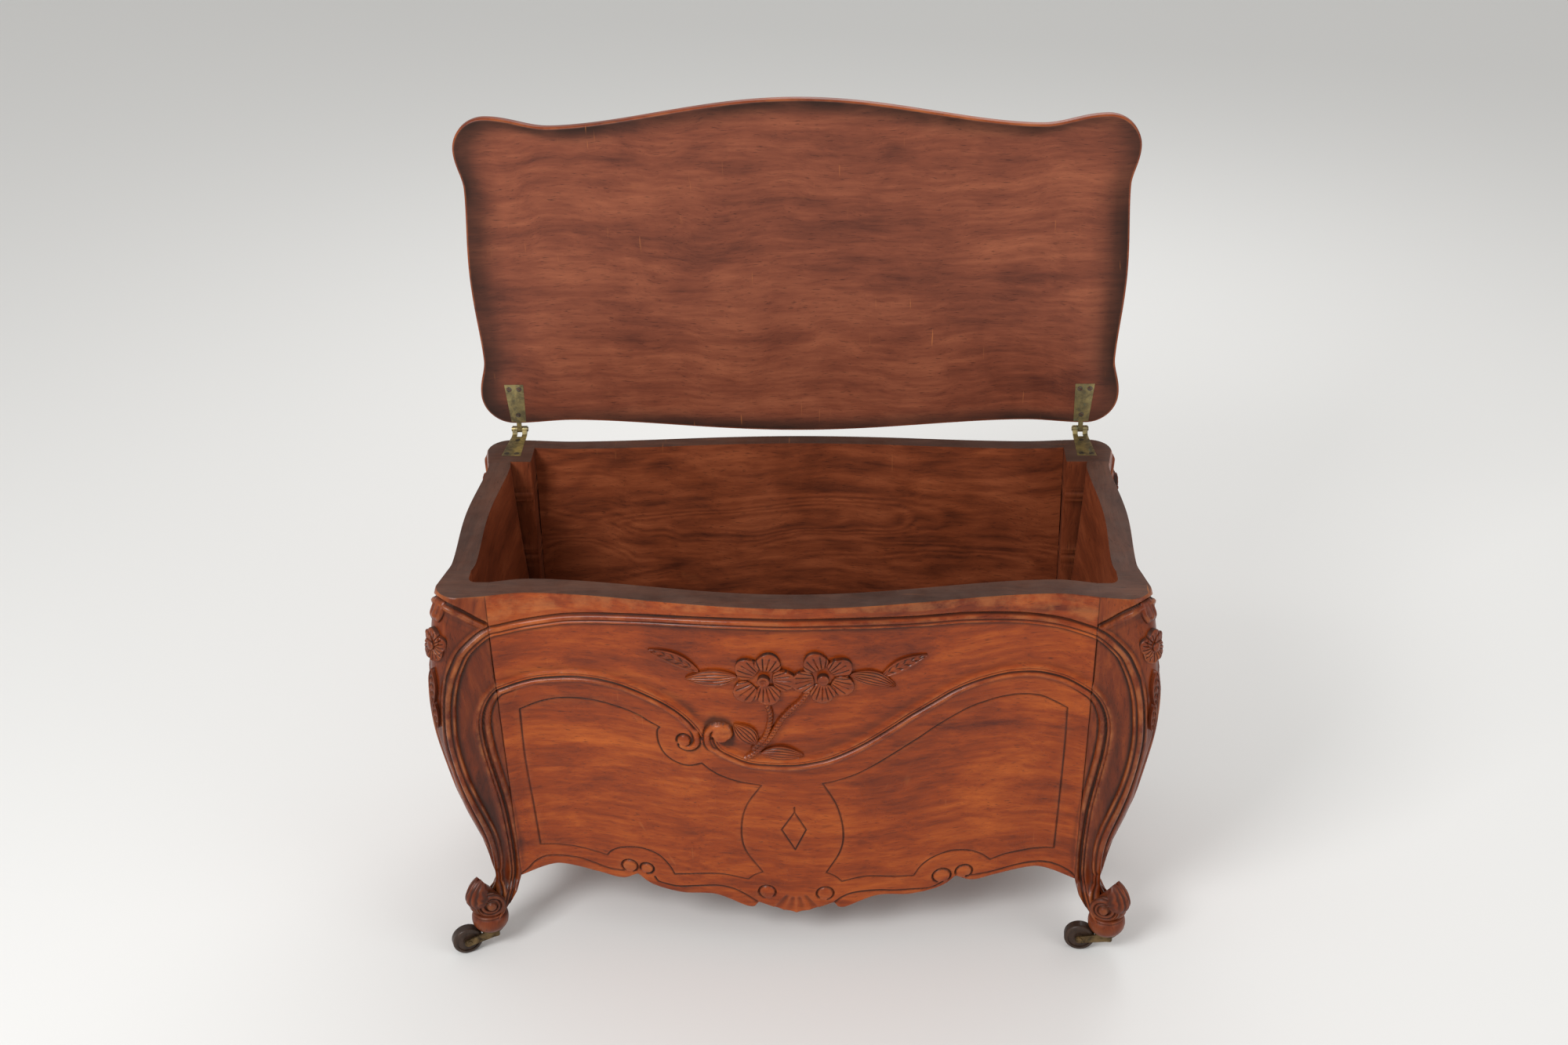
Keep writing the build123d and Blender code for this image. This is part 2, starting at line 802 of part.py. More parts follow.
def make_wheel(frame):
    """A caster wheel with a rounded tread, a dished face and a boss round the bore."""
    half = wheel_width / 2
    boss = half + horn_side_gap / 2
    axle = Plane(
        origin=frame.from_local_coords((caster_trail, 0, 0)), x_dir=(0, 0, 1), z_dir=frame.y_dir
    )
    with BuildPart() as wheel:
        with BuildSketch(axle):
            Circle(wheel_radius)
        extrude(amount=half, both=True)
        rims = wheel.edges().filter_by(GeomType.CIRCLE)
        fillet(rims, radius=wheel_edge_radius)
        for face in (-1, 1):
            with BuildSketch(axle.offset(face * half)):
                Circle(wheel_radius - wheel_tread)
                Circle(wheel_boss_radius, mode=Mode.SUBTRACT)
            extrude(amount=-face * wheel_dish, mode=Mode.SUBTRACT)
        with BuildSketch(axle):
            Circle(wheel_boss_radius)
        extrude(amount=boss, both=True)
        with BuildSketch(axle):
            Circle(axle_radius + running_gap)
        extrude(amount=wheel_width, both=True, mode=Mode.SUBTRACT)
    return wheel.part


def make_axle(frame):
    """A wheel axle, riveted over outside both cheeks."""
    axle = Plane(
        origin=frame.from_local_coords((caster_trail, 0, 0)), x_dir=(0, 0, 1), z_dir=frame.y_dir
    )
    with BuildPart() as pin:
        with BuildSketch(axle):
            Circle(axle_radius)
        extrude(amount=horn_half_width + seat_gap, both=True)
        for end in (-1, 1):
            with BuildSketch(axle.offset(end * (horn_half_width + seat_gap))):
                Circle(axle_head_radius)
            extrude(amount=end * axle_head_length, taper=axle_head_taper)
    return pin.part


for end, back in (("front", False), ("rear", True)):
    for side, right in (("left", False), ("right", True)):
        corner = f"{end}_{side}"
        foot = foot_place(right, back)
        frame = caster_frame(foot, trail_angles[corner])
        keep(make_leg(right, back), f"{corner}_leg")
        keep(make_caster_plate(foot), f"{corner}_caster_plate")
        keep(make_plate_screws(foot), f"{corner}_caster_screws")
        keep(make_horn(frame), f"{corner}_caster_horn")
        keep(make_wheel(frame), f"{corner}_caster_wheel")
        keep(make_axle(frame), f"{corner}_caster_axle")

# ---------------------------------------------------------------- floor of the chest
leg_reach = stile_width - board_gap
leg_middles = [
    (sign * (joint_x(back) + leg_reach), joint_y(back) + (leg_reach if back else -leg_reach))
    for sign in (-1, 1)
    for back in (False, True)
]
with BuildPart() as bottom_board:
    with BuildSketch(Plane.XY.offset(board_height)):
        # between the long walls, and then between the side walls
        for keys, mode in ((("front", "back"), Mode.ADD), (("right", "left"), Mode.INTERSECT)):
            first, second = [
                walls[key].line(board_height, walls[key].thickness + board_gap, -stile_width / 2)
                for key in keys
            ]
            with BuildLine():
                Spline(*first)
                Line(first[-1], second[0])
                Spline(*second)
                Line(second[-1], first[0])
            make_face(mode=mode)
        # notched round the legs
        with Locations(*leg_middles):
            Rectangle(2 * stile_width, 2 * stile_width, mode=Mode.SUBTRACT)
    extrude(amount=board_thickness)
keep(bottom_board.part, "bottom_board")

batten_bottom = board_height - batten_height
for key, wall in walls.items():
    # a strip along the inside of each wall, straight up and down, clear of the wall above it
    near = wall.thickness + batten_gap
    inset = long_batten_inset if key in ("front", "back") else side_batten_inset
    outer = wall.line(batten_bottom, near, inset)
    inner = wall.line(batten_bottom, near + batten_width, inset)[::-1]
    with BuildPart() as batten:
        with BuildSketch(Plane.XY.offset(batten_bottom)):
            with BuildLine():
                Spline(*outer)
                Line(outer[-1], inner[0])
                Spline(*inner)
                Line(inner[-1], outer[0])
            make_face()
        extrude(amount=batten_height)
    keep(batten.part, f"{key}_batten")

# ---------------------------------------------------------------- lid
def grown(points, amount):
    """A closed outline, running anticlockwise, with every point moved outwards."""
    moved = []
    for i, point in enumerate(points):
        before = points[i - 1]
        after = points[(i + 1) % len(points)]
        outward = Vector(after[1] - before[1], before[0] - after[0]).normalized()
        moved.append((point[0] + outward.X * amount, point[1] + outward.Y * amount))
    return moved


def rim_outline():
    """Outer edge of the carcass at the rim, anticlockwise from the middle of the front."""
    right_half = []
    corner = lobe_inset * (1 - cos(pi / 4))
    for x in steps(0, front_half - lobe_inset, 12):
        right_half.append((x, front_face(x, rim_height)))
    right_half.append((front_half - corner, front_y + corner))
    for y in steps(front_y + lobe_inset, rear_y - lobe_inset, 9):
        right_half.append((side_face(y, rim_height), y))
    right_half.append((rear_half - corner, rear_y - corner))
    for x in steps(rear_half - lobe_inset, 0, 12):
        right_half.append((x, rear_face(x, rim_height)))
    left_half = [(-x, y) for x, y in reversed(right_half[1:-1])]
    return right_half + left_half


rim_from_pivot = [(x, y - pivot_y) for x, y in rim_outline()]
with BuildPart() as lid:
    for share, inset in lid_edge:
        with BuildSketch(lid_frame.offset(lid_underside + share * lid_thickness)):
            with BuildLine():
                Spline(*grown(rim_from_pivot, lid_overhang - inset), periodic=True)
            make_face()
    loft(ruled=True)
    for sign in (-1, 1):
        hinge = hinge_plane(lid_frame, sign)
        bed = leaf_recess(hinge, sign, lid_underside + leaf_thickness + seat_gap)
        extrude(bed, amount=-leaf_thickness - pivot_rise, mode=Mode.SUBTRACT)
        holes = leaf_screw_holes(hinge, sign, lid_underside)
        extrude(holes, amount=hinge_screw_length + seat_gap, mode=Mode.SUBTRACT)
keep(lid.part, "lid")
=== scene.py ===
"""Looks of the cassone: carved walnut carcass, moulded lid, brass hinges and casters.

The carcass is described in millimetres, as it was set out on the bench, and every mesh is scaled to
metres when it is made. Heights along a carved line are measured from the rim, downwards negative.
"""

import json
import logging
import math
from dataclasses import dataclass
from enum import Enum
from typing import Callable, Optional, Sequence

import bpy
import numpy as np
from mathutils import Matrix, Vector

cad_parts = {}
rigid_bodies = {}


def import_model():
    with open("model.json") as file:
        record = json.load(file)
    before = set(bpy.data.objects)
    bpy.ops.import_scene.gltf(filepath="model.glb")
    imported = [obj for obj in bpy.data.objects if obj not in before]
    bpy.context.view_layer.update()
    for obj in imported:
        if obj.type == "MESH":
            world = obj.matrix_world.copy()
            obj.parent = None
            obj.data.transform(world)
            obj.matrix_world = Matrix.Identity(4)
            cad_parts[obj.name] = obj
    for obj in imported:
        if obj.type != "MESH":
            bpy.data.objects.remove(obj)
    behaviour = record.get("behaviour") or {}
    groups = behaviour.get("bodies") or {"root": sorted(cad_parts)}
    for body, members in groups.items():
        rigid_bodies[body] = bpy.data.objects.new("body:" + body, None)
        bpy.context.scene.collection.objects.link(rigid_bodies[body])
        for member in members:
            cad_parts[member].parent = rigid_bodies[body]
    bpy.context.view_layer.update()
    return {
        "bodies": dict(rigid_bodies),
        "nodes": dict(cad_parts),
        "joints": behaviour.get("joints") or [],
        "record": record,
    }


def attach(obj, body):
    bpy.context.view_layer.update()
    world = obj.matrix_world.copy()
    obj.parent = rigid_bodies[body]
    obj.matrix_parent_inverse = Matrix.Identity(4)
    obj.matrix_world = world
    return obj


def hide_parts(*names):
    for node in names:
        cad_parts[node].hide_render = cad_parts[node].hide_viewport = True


MM = 0.001
Array = np.ndarray
Mask = Array | float
Points = Sequence[Sequence[float]]
Colour = tuple[float, float, float]
Place = Callable[[Array, Array, Array], Array]
Piece = bpy.types.Object
Material = bpy.types.Material
Materials = Sequence[bpy.types.Material]
Socket = bpy.types.NodeSocket
log = logging.getLogger("cassone")


# ---------------- small geometry helpers
def smooth_step(t: Array) -> Array:
    """Eases 0..1 with flat ends."""
    t = np.clip(t, 0.0, 1.0)
    return t * t * (3 - 2 * t)


def smooth_values(x: Array, stations: Sequence[float], values: Sequence[float]) -> Array:
    """A smooth curve through evenly or unevenly spaced stations.

    Args:
        x: where to read the curve.
        stations: rising positions.
        values: the curve's value at each station.

    Returns:
        The values at x.
    """
    xs = np.asarray(stations, float)
    ys = np.asarray(values, float)
    slopes = np.gradient(ys, xs)
    i = np.clip(np.searchsorted(xs, x, side="right") - 1, 0, len(xs) - 2)
    span = xs[i + 1] - xs[i]
    t = np.clip((x - xs[i]) / span, 0.0, 1.0)
    t2, t3 = t * t, t * t * t
    return (
        (2 * t3 - 3 * t2 + 1) * ys[i]
        + (t3 - 2 * t2 + t) * span * slopes[i]
        + (3 * t2 - 2 * t3) * ys[i + 1]
        + (t3 - t2) * span * slopes[i + 1]
    )


def curve_through(points: Points, step: float = 3.0) -> Array:
    """A smooth open line through its points, cut into short runs.

    Args:
        points: the points in order.
        step: longest run, in millimetres.

    Returns:
        The points of the line, one row each.
    """
    p = np.asarray(points, float)
    padded = np.vstack([2 * p[0] - p[1], p, 2 * p[-1] - p[-2]])
    out = []
    for i in range(1, len(padded) - 2):
        a, b, c, d = padded[i - 1 : i + 3]
        count = max(2, int(math.ceil(np.linalg.norm(c - b) / step)))
        t = np.linspace(0, 1, count, endpoint=False)[:, None]
        curved = (2 * a - 5 * b + 4 * c - d) * t**2 + (3 * b - a - 3 * c + d) * t**3
        out.append(0.5 * (2 * b + (c - a) * t + curved))
    out.append(padded[-2:-1])
    return np.vstack(out)


def distance_to(u: Array, z: Array, path: Array, reach: float) -> Array:
    """Distance from each point of a face to a line on it.

    Args:
        u: positions along the face.
        z: heights, the same shape as u.
        path: the line's points, one row each.
        reach: the distance beyond which nothing matters.

    Returns:
        The distances, none above reach.
    """
    flat_u, flat_z = u.ravel(), z.ravel()
    best = np.full(flat_u.shape, float(reach * reach))
    runs_at_once = 6
    for first in range(0, len(path) - 1, runs_at_once):
        part = path[first : first + runs_at_once + 1]
        low, high = part.min(0) - reach, part.max(0) + reach
        near = np.nonzero(
            (flat_u > low[0]) & (flat_u < high[0]) & (flat_z > low[1]) & (flat_z < high[1])
        )[0]
        if not len(near):
            continue
        pu, pz = flat_u[near], flat_z[near]
        found = best[near]
        for a, b in zip(part[:-1], part[1:]):
            run = b - a
            length = max(float(run @ run), 1e-12)
            t = np.clip(((pu - a[0]) * run[0] + (pz - a[1]) * run[1]) / length, 0.0, 1.0)
            found = np.minimum(found, (pu - a[0] - t * run[0]) ** 2 + (pz - a[1] - t * run[1]) ** 2)
        best[near] = found
    return np.sqrt(best).reshape(u.shape)


def inside(u: Array, z: Array, outline: Array) -> Array:
    """Which points lie inside a closed outline."""
    hit = np.zeros(u.shape, bool)
    for (ax, az), (bx, bz) in zip(outline, np.roll(outline, -1, axis=0)):
        if az == bz:
            continue
        crosses = (az > z) != (bz > z)
        hit ^= crosses & (u < (bx - ax) * (z - az) / (bz - az) + ax)
    return hit


def signed_distance(u: Array, z: Array, line: Array, round_by: Points, reach: float) -> Array:
    """Distance from a line, negative within the outline that it closes with some points beyond it.

    Args:
        u: positions along the face.
        z: heights, the same shape as u.
        line: the line's points, one row each.
        round_by: the points that lead back from its end to its start.
        reach: the distance beyond which nothing matters.

    Returns:
        The distances, none beyond reach on either side.
    """
    within = inside(u, z, np.vstack([line, round_by]))
    return distance_to(u, z, line, reach) * np.where(within, -1, 1)


def blurred(values: Array, radius: int) -> Array:
    """A grid of values averaged over a square neighbourhood, twice over."""
    for _ in range(2):
        for axis in (0, 1):
            pad = [(radius + 1, radius) if a == axis else (0, 0) for a in (0, 1)]
            total = np.cumsum(np.pad(values, pad, mode="edge"), axis=axis)
            width = 2 * radius + 1
            high = np.take(total, range(width, total.shape[axis]), axis=axis)
            low = np.take(total, range(0, total.shape[axis] - width), axis=axis)
            values = (high - low) / width
    return values


def profile(distance: Array, table: Points) -> Array:
    """Height of a moulding's section at a distance across it."""
    xs, hs = zip(*table)
    return np.interp(distance, xs, hs)


def normals_of(grid: Array) -> Array:
    """Unit normals of a grid of points, along columns crossed with rows."""
    across = np.gradient(grid, axis=1)
    up = np.gradient(grid, axis=0)
    normal = np.cross(across, up)
    return normal / np.maximum(np.linalg.norm(normal, axis=2, keepdims=True), 1e-9)


def left_of(path: Array) -> Array:
    """Unit vectors that point to the left along a flat line, one for each of its points."""
    tangent = np.gradient(path, axis=0)
    tangent /= np.linalg.norm(tangent, axis=1, keepdims=True)
    return np.stack([-tangent[:, 1], tangent[:, 0]], axis=1)


# ---------------- meshes
class MeshMaker:
    """Gathers grids and faces in millimetres and turns them into one object in metres."""

    def __init__(self, name: str) -> None:
        """Starts an empty piece."""
        self.name = name
        self.points: list[Array] = []
        self.grime_and_shade: list[Array] = []
        self.wear: list[Array] = []
        self.quads: list[tuple[Array, int]] = []
        self.rings: list[tuple[Array, int]] = []
        self.count = 0

    def add_points(self, points: Array, grime_and_shade: Mask = 0.0, wear: Mask = 0.0) -> Array:
        """Adds points with their dirt and painted shade, and their wear, and returns their indices."""
        shape = points.shape[:-1]
        self.points.append(np.asarray(points, float).reshape(-1, 3))
        self.grime_and_shade.append(np.broadcast_to(grime_and_shade, shape).ravel())
        self.wear.append(np.broadcast_to(wear, shape).ravel())
        first = self.count
        self.count += len(self.points[-1])
        return np.arange(first, self.count).reshape(shape)

    def add_quads(self, grid: Array, material: int = 0, flip: bool = False) -> None:
        """Faces between neighbouring rows and columns of a grid of indices."""
        a, b, c, d = grid[:-1, :-1], grid[:-1, 1:], grid[1:, 1:], grid[1:, :-1]
        quads = np.stack([a, b, c, d], axis=-1).reshape(-1, 4)
        self.quads.append((quads[:, ::-1] if flip else quads, material))

    def add_grid(
        self, grid: Array, grime_and_shade: Mask = 0.0, wear: Mask = 0.0, material: int = 0, flip: bool = False,
        closed: bool = False,
    ) -> Array:
        """Adds a grid of points and its faces.

        Args:
            grid: the points, rows by columns.
            grime_and_shade: dirt and painted shade at each point, 0 to 1.
            wear: wear at each point, 0 to 1.
            material: which of the piece's materials it takes.
            flip: whether its faces look the other way.
            closed: whether its last column joins its first.

        Returns:
            The indices of its points.
        """
        indices = self.add_points(grid, grime_and_shade, wear)
        joined = np.hstack([indices, indices[:, :1]]) if closed else indices
        self.add_quads(joined, material, flip)
        return indices

    def add_ring(self, indices: Sequence[int], material: int = 0) -> None:
        """One flat face with many corners."""
        self.rings.append((np.array([indices]), material))

    def build(self, materials: Materials, sharp: float = 50.0) -> Piece:
        """Makes the object, smooth but for its sharp edges.

        Args:
            materials: the materials in the order of the faces' numbers.
            sharp: degrees between faces above which an edge stays crisp.

        Returns:
            The new object.
        """
        mesh = bpy.data.meshes.new(self.name)
        points = np.vstack(self.points) * MM
        faces = self.quads + self.rings
        corners = np.concatenate([rows.ravel() for rows, _ in faces]).astype(np.int32)
        totals = np.concatenate([np.full(len(rows), rows.shape[1]) for rows, _ in faces])
        slots = np.concatenate([np.full(len(rows), slot) for rows, slot in faces]).astype(np.int32)
        starts = np.concatenate([[0], np.cumsum(totals)[:-1]]).astype(np.int32)
        mesh.vertices.add(len(points))
        mesh.vertices.foreach_set("co", points.astype(np.float32).ravel())
        mesh.loops.add(len(corners))
        mesh.loops.foreach_set("vertex_index", corners)
        mesh.polygons.add(len(totals))
        mesh.polygons.foreach_set("loop_start", starts)
        mesh.polygons.foreach_set("material_index", slots)
        mesh.update(calc_edges=True)
        for label, values in (("grime_and_shade", self.grime_and_shade), ("wear", self.wear)):
            attribute = mesh.attributes.new(label, "FLOAT", "POINT")
            attribute.data.foreach_set("value", np.clip(np.concatenate(values), 0, 1).astype(np.float32))
        for material in materials:
            mesh.materials.append(material)
        mesh.validate()
        mesh.shade_smooth()
        mesh.set_sharp_from_angle(angle=math.radians(sharp))
        piece = bpy.data.objects.new(self.name, mesh)
        bpy.context.scene.collection.objects.link(piece)
        return piece


def settle(piece: Piece, body: str, slot: str, *nodes: str) -> Piece:
    """Puts a piece on its body and lets it stand for its nodes, which it hides."""
    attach(piece, body)
    if nodes:
        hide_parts(*nodes)
    log.info("%s: %d faces on %s", piece.name, len(piece.data.polygons), body)
    return piece


# ---------------- the carcass's setting out
@dataclass(frozen=True)
class SettingOut:
    """Outer faces of the carcass, in millimetres."""

    rim: float = 562.0
    front_half: float = 428.0
    rear_half: float = 420.0
    front_y: float = -222.0
    rear_y: float = 180.0
    lobe: float = 31.0
    waist_in: float = 82.0
    side_waist_in: float = 50.0
    recess_end: float = 77.0
    stile: float = 63.0
    apron: float = 99.0
    fullness: float = 0.85
    front_bow: float = 22.5
    front_waist: float = 12.5
    rear_bow: float = 11.0
    rear_waist: float = 4.5
    side_bow: float = -3.0
    side_waist: float = 9.0
    front_setback: float = 38.0
    side_setback: float = 30.0
    rear_setback: float = 30.0

    def swell(self, along: Array, lobe: float, waist_at: float, bow: float, waist: float) -> Array:
        """How far an edge stands outside its lobes."""
        along = np.abs(along)
        rise = ((1 + np.cos(math.pi * np.minimum(along, waist_at) / waist_at)) / 2) ** self.fullness
        past = np.clip((along - waist_at) / (lobe - waist_at), 0, 1)
        return np.where(along <= waist_at, (bow + waist) * rise - waist, -waist * (1 + np.cos(math.pi * past)) / 2)

    def recess(self, height: Array, setback: float) -> Array:
        """How far a wall has drawn in at a height."""
        down = (self.rim - height) / (self.rim - self.recess_end)
        return setback * (down + smooth_step(down)) / 2

    def front(self, x: Array, height: Array) -> Array:
        """Y of the front wall's outer face."""
        lobe = self.front_half - self.lobe
        out = self.swell(x, lobe, lobe - self.waist_in, self.front_bow, self.front_waist)
        return self.front_y - out + self.recess(height, self.front_setback)

    def rear(self, x: Array, height: Array) -> Array:
        """Y of the back wall's outer face."""
        lobe = self.rear_half - self.lobe
        out = self.swell(x, lobe, lobe - self.waist_in, self.rear_bow, self.rear_waist)
        return self.rear_y + out - self.recess(height, self.rear_setback)

    def side(self, y: Array, height: Array) -> Array:
        """Distance of a side wall's outer face from the middle plane."""
        near, far = self.front_y + self.lobe, self.rear_y - self.lobe
        half = (far - near) / 2
        across = np.clip((y - near) / (far - near), 0, 1)
        line = self.front_half + (self.rear_half - self.front_half) * across
        out = self.swell(y - (near + far) / 2, half, half - self.side_waist_in, self.side_bow, self.side_waist)
        return line + out - self.recess(height, self.side_setback)


PLAN = SettingOut()


class Wall(Enum):
    """The four walls of the carcass: node, where each begins and ends along itself, and thickness."""

    FRONT = ("front_panel", -365.0, 365.0, 32.0)
    BACK = ("back_panel", -357.0, 357.0, 22.0)
    RIGHT = ("right_side_panel", -159.0, 117.0, 30.0)
    LEFT = ("left_side_panel", -117.0, 159.0, 30.0)

    @property
    def node(self) -> str:
        """Name of the wall's node."""
        return self.value[0]

    @property
    def ends(self) -> tuple[float, float]:
        """Where the wall begins and ends."""
        return self.value[1], self.value[2]

    @property
    def middle(self) -> float:
        """Where the middle of the wall is."""
        return sum(self.ends) / 2

    @property
    def half(self) -> float:
        """Half the wall's length."""
        low, high = self.ends
        return (high - low) / 2

    def surface(self, u: Array, z: Array, deep: float = 0.0) -> Array:
        """Points of the wall's outer face, or of one behind it.

        Args:
            u: positions along the wall, rising to the right of someone who faces it.
            z: heights above the floor.
            deep: how far behind the outer face.

        Returns:
            The points, with X, Y and Z in the last axis.
        """
        if self is Wall.FRONT:
            return np.stack([u, PLAN.front(u, z) + deep, z], axis=-1)
        if self is Wall.BACK:
            return np.stack([-u, PLAN.rear(-u, z) - deep, z], axis=-1)
        if self is Wall.RIGHT:
            return np.stack([PLAN.side(u, z) - deep, u, z], axis=-1)
        return np.stack([-(PLAN.side(-u, z) - deep), -u, z], axis=-1)

    def place(self, u: Array, drop: Array, out: Array) -> Array:
        """Points that stand out from the wall's face, heights measured from the rim."""
        u, drop, out = np.broadcast_arrays(u, drop, out)
        z = PLAN.rim + drop
        here = self.surface(u, z)
        step = 0.5
        across = self.surface(u + step, z) - here
        up = self.surface(u, z + step) - here
        normal = np.cross(across, up)
        normal /= np.linalg.norm(normal, axis=-1, keepdims=True)
        return here + normal * out[..., None]


# ---------------- carved lines
FIELD = -4.0  # the sunk field between the two mouldings
PANEL = -1.0  # the lower panel

# sections across a moulding: distance from its groove towards the field, and height
UPPER_SECTION = (
    (-3.6, 0), (-2.6, -0.2), (-1.5, -1.5), (-0.6, -2.8), (0.3, -3.0), (1.1, -2.0), (2.1, 0.1), (3.4, 1.5),
    (5.0, 2.0), (6.6, 1.7), (8.0, 0.7), (9.2, -0.8), (10.0, -1.2), (10.8, -0.8), (11.8, 0.2), (12.8, 0.4),
    (13.8, -0.3), (14.8, -1.9), (16.0, -3.3), (17.5, -3.9), (19.0, FIELD),
)
LOWER_SECTION = (
    (-10.5, PANEL), (-8.6, -0.85), (-7.0, -0.1), (-5.4, 0.8), (-3.9, 1.0), (-2.6, 0.3), (-1.6, -1.3), (-0.7, -2.9),
    (0.3, -3.2), (1.2, -2.1), (2.0, -0.5), (2.8, 0.0), (3.6, -0.1), (4.3, -0.8), (4.9, -1.2), (5.5, -0.4),
    (6.2, 0.6), (7.2, 0.5), (8.7, -0.5), (10.6, -1.8), (12.8, -2.9), (15.5, -3.6), (18.5, -3.9), (21.0, FIELD),
)
SCROLL_SECTION = ((0, 1.7), (1.4, 1.4), (2.7, 0.5), (3.7, -1.0), (4.5, -2.6), (5.6, -2.9))
MOULDING_REACH = 22.0
OVER_ALL, UNDER_ALL = 60.0, -620.0  # drops beyond the rim and the floor

# groove line of the lower moulding on a leg: distance from the middle plane, and drop from the rim
LEG_INNER = (
    (350, -137), (365, -145), (373, -153.5), (379, -165), (383, -180), (384.5, -200), (383.5, -228), (381, -255),
    (377.5, -285), (374.5, -312), (372, -340), (370.8, -370), (370, -400), (370.2, -430), (371.5, -455),
    (377, -480), (387, -507),
)
FRONT_UPPER = (
    (-392, -66), (-378, -53), (-365, -46.5), (-352, -45), (-327, -41), (-302, -36), (-277, -31), (-252, -28),
    (-227, -25.8), (-202, -24), (-165, -21.5), (-127, -19.7), (-90, -18.2), (-52, -17.2), (-15, -17), (50, -17),
    (100, -18.7), (150, -21), (200, -21.7), (225, -23), (250, -25), (275, -27.5), (300, -31.5), (325, -36.5),
    (350, -42.5), (365, -46.5), (378, -53), (392, -66),
)
FRONT_LOWER = (
    *((-x, drop) for x, drop in LEG_INNER[:0:-1]),
    (-355.8, -141.5), (-346.8, -138.8), (-336, -136), (-325, -133.4), (-313.5, -131), (-301, -129.2), (-291, -128),
    (-274, -126.4), (-255, -126.2), (-233.7, -128.3), (-212.3, -133.1), (-196.3, -139), (-180.3, -145.9),
    (-164.3, -153.9), (-151.5, -161.9), (-139.8, -171), (-130.2, -181.1), (-121.7, -192.9), (-115.3, -206.7),
    (-108, -208), (-100.5, -207), (-99.5, -211), (-97.5, -216.7), (-93.3, -223.3), (-87.5, -228.3), (-80, -232.5),
    (-71.7, -236.7), (-62.5, -240.8), (-50, -244.2), (-33.3, -245.4), (0, -245.3), (20.7, -242.2), (41.3, -237),
    (62, -228.3), (82.7, -216.9), (103.3, -203.5), (124, -188.5), (144.7, -173), (155, -166.5), (175.7, -153),
    (196.3, -139.6), (217, -129.8), (237.7, -123.1), (258.3, -118.4), (279, -116.9), (299.7, -117.9),
    (320.3, -123), (333, -127), (345.7, -133), (355.2, -138.5),
    *LEG_INNER[1:],
)
# the two scrolls into which the lower moulding rolls: line of the bead, eye, its radius and height,
# and the groove round it
LEFT_SCROLL = (
    ((-126, -190), (-121.5, -200), (-119.8, -210), (-121.5, -218), (-126.5, -223.5), (-133, -225), (-139, -222.5)),
    (-136.5, -213.5), 8.2, 1.0,
    ((-145.3, -216), (-144.8, -210.5), (-141, -205.5), (-135.5, -203.6), (-130.3, -206), (-127.6, -211),
     (-128, -216)),
)
RIGHT_SCROLL = (
    ((-96, -229), (-102.5, -223.5), (-106.5, -215), (-107.3, -206), (-105.8, -197), (-101, -190.3), (-94, -187),
     (-86.5, -187), (-80.8, -190), (-78.6, -195.5), (-80, -201)),
    (-89.5, -199.5), 10.5, 2.2,
    ((-99.4, -208), (-99.2, -203.5)),
)
# knife-cut lines of the front panel, each run ending at a cusp or a corner
FRONT_CUTS = (
    ((-340.5, -179), (-331, -175.2), (-322, -171), (-313, -167.6), (-302, -164.2), (-291, -161.9), (-278, -160.6),
     (-264, -160.4), (-250, -161.6), (-237, -163.6), (-223, -167.3), (-207, -172.6), (-191, -180), (-180.3, -187.5),
     (-166, -196)),
    ((-166, -196), (-169.3, -201), (-170, -212), (-168.5, -224), (-164, -236.3), (-157.5, -245), (-148.8, -251.3),
     (-137.5, -255.3), (-127.5, -254.5), (-115.5, -249.5)),
    ((-115.5, -249.5), (-107.5, -257.5), (-97.5, -265), (-87.5, -270), (-77.5, -273.8), (-65, -277), (-41, -280.5)),
    ((-340.5, -179), (-341.5, -260), (-338.5, -340), (-336, -413)),
    ((-336, -413), (-308, -415), (-286, -418), (-264, -424), (-249, -428.5)),
    ((-249, -428.5), (-242, -419.5), (-229, -412.5), (-211, -409.5), (-198, -410.5), (-180, -418.5), (-167, -434.5),
     (-160, -450)),
    ((-160, -450), (-150, -448), (-100, -440.5), (-62, -446)),
    ((-62, -446), (-54, -438), (-43, -432)),
    ((-41, -280.5), (-61, -317), (-68.5, -355), (-65, -393), (-43, -432)),
    ((36.3, -276.5), (50, -273.8), (65, -268.8), (80, -262.5), (95, -254), (110, -243.8), (125, -233), (140, -222),
     (159, -208), (176, -194.6), (196, -181), (217, -168.4), (237.7, -160.3), (258, -154.8), (275, -152.6),
     (290, -153), (306, -156.2), (320, -163.6), (338, -174)),
    ((338, -174), (338.6, -240), (337.5, -330), (336, -414)),
    ((40, -432), (51, -439), (60, -449)),
    ((60, -449), (85, -443), (100, -443), (130, -447), (154, -449)),
    ((154, -449), (163, -433), (176, -421), (194, -413), (207, -411), (227, -414), (242, -422), (254, -433)),
    ((254, -433), (273, -425), (300, -418.5), (322, -415), (336, -414)),
    ((36.3, -276.5), (54, -316), (62, -360), (58, -395), (40, -432)),
    ((0, -317), (0, -326)),
    ((0, -326), (-17, -356)),
    ((-17, -356), (0, -391)),
    ((0, -391), (14.5, -356)),
    ((14.5, -356), (0, -326)),
)
# the wider groove that follows the sawn edge of the front apron
FRONT_APRON_GROOVES = (
    ((-366, -461), (-355, -453), (-345, -442), (-330, -435), (-308, -435), (-286, -438), (-268, -444.5),
     (-251, -451.5), (-238, -454), (-229, -454)),
    ((-187, -459), (-183, -466), (-174, -469), (-156, -471), (-134, -467), (-112, -463), (-99, -462), (-83, -465),
     (-68, -473), (-52, -485)),
    ((51, -485), (60, -477), (71, -471.5), (86, -469), (108, -469), (130, -472), (152, -473), (174, -474),
     (185, -470), (192, -465)),
    ((223, -458), (238, -458), (260, -454), (286, -446), (308, -441), (326, -440), (344, -444), (358, -451.5),
     (366, -459)),
)
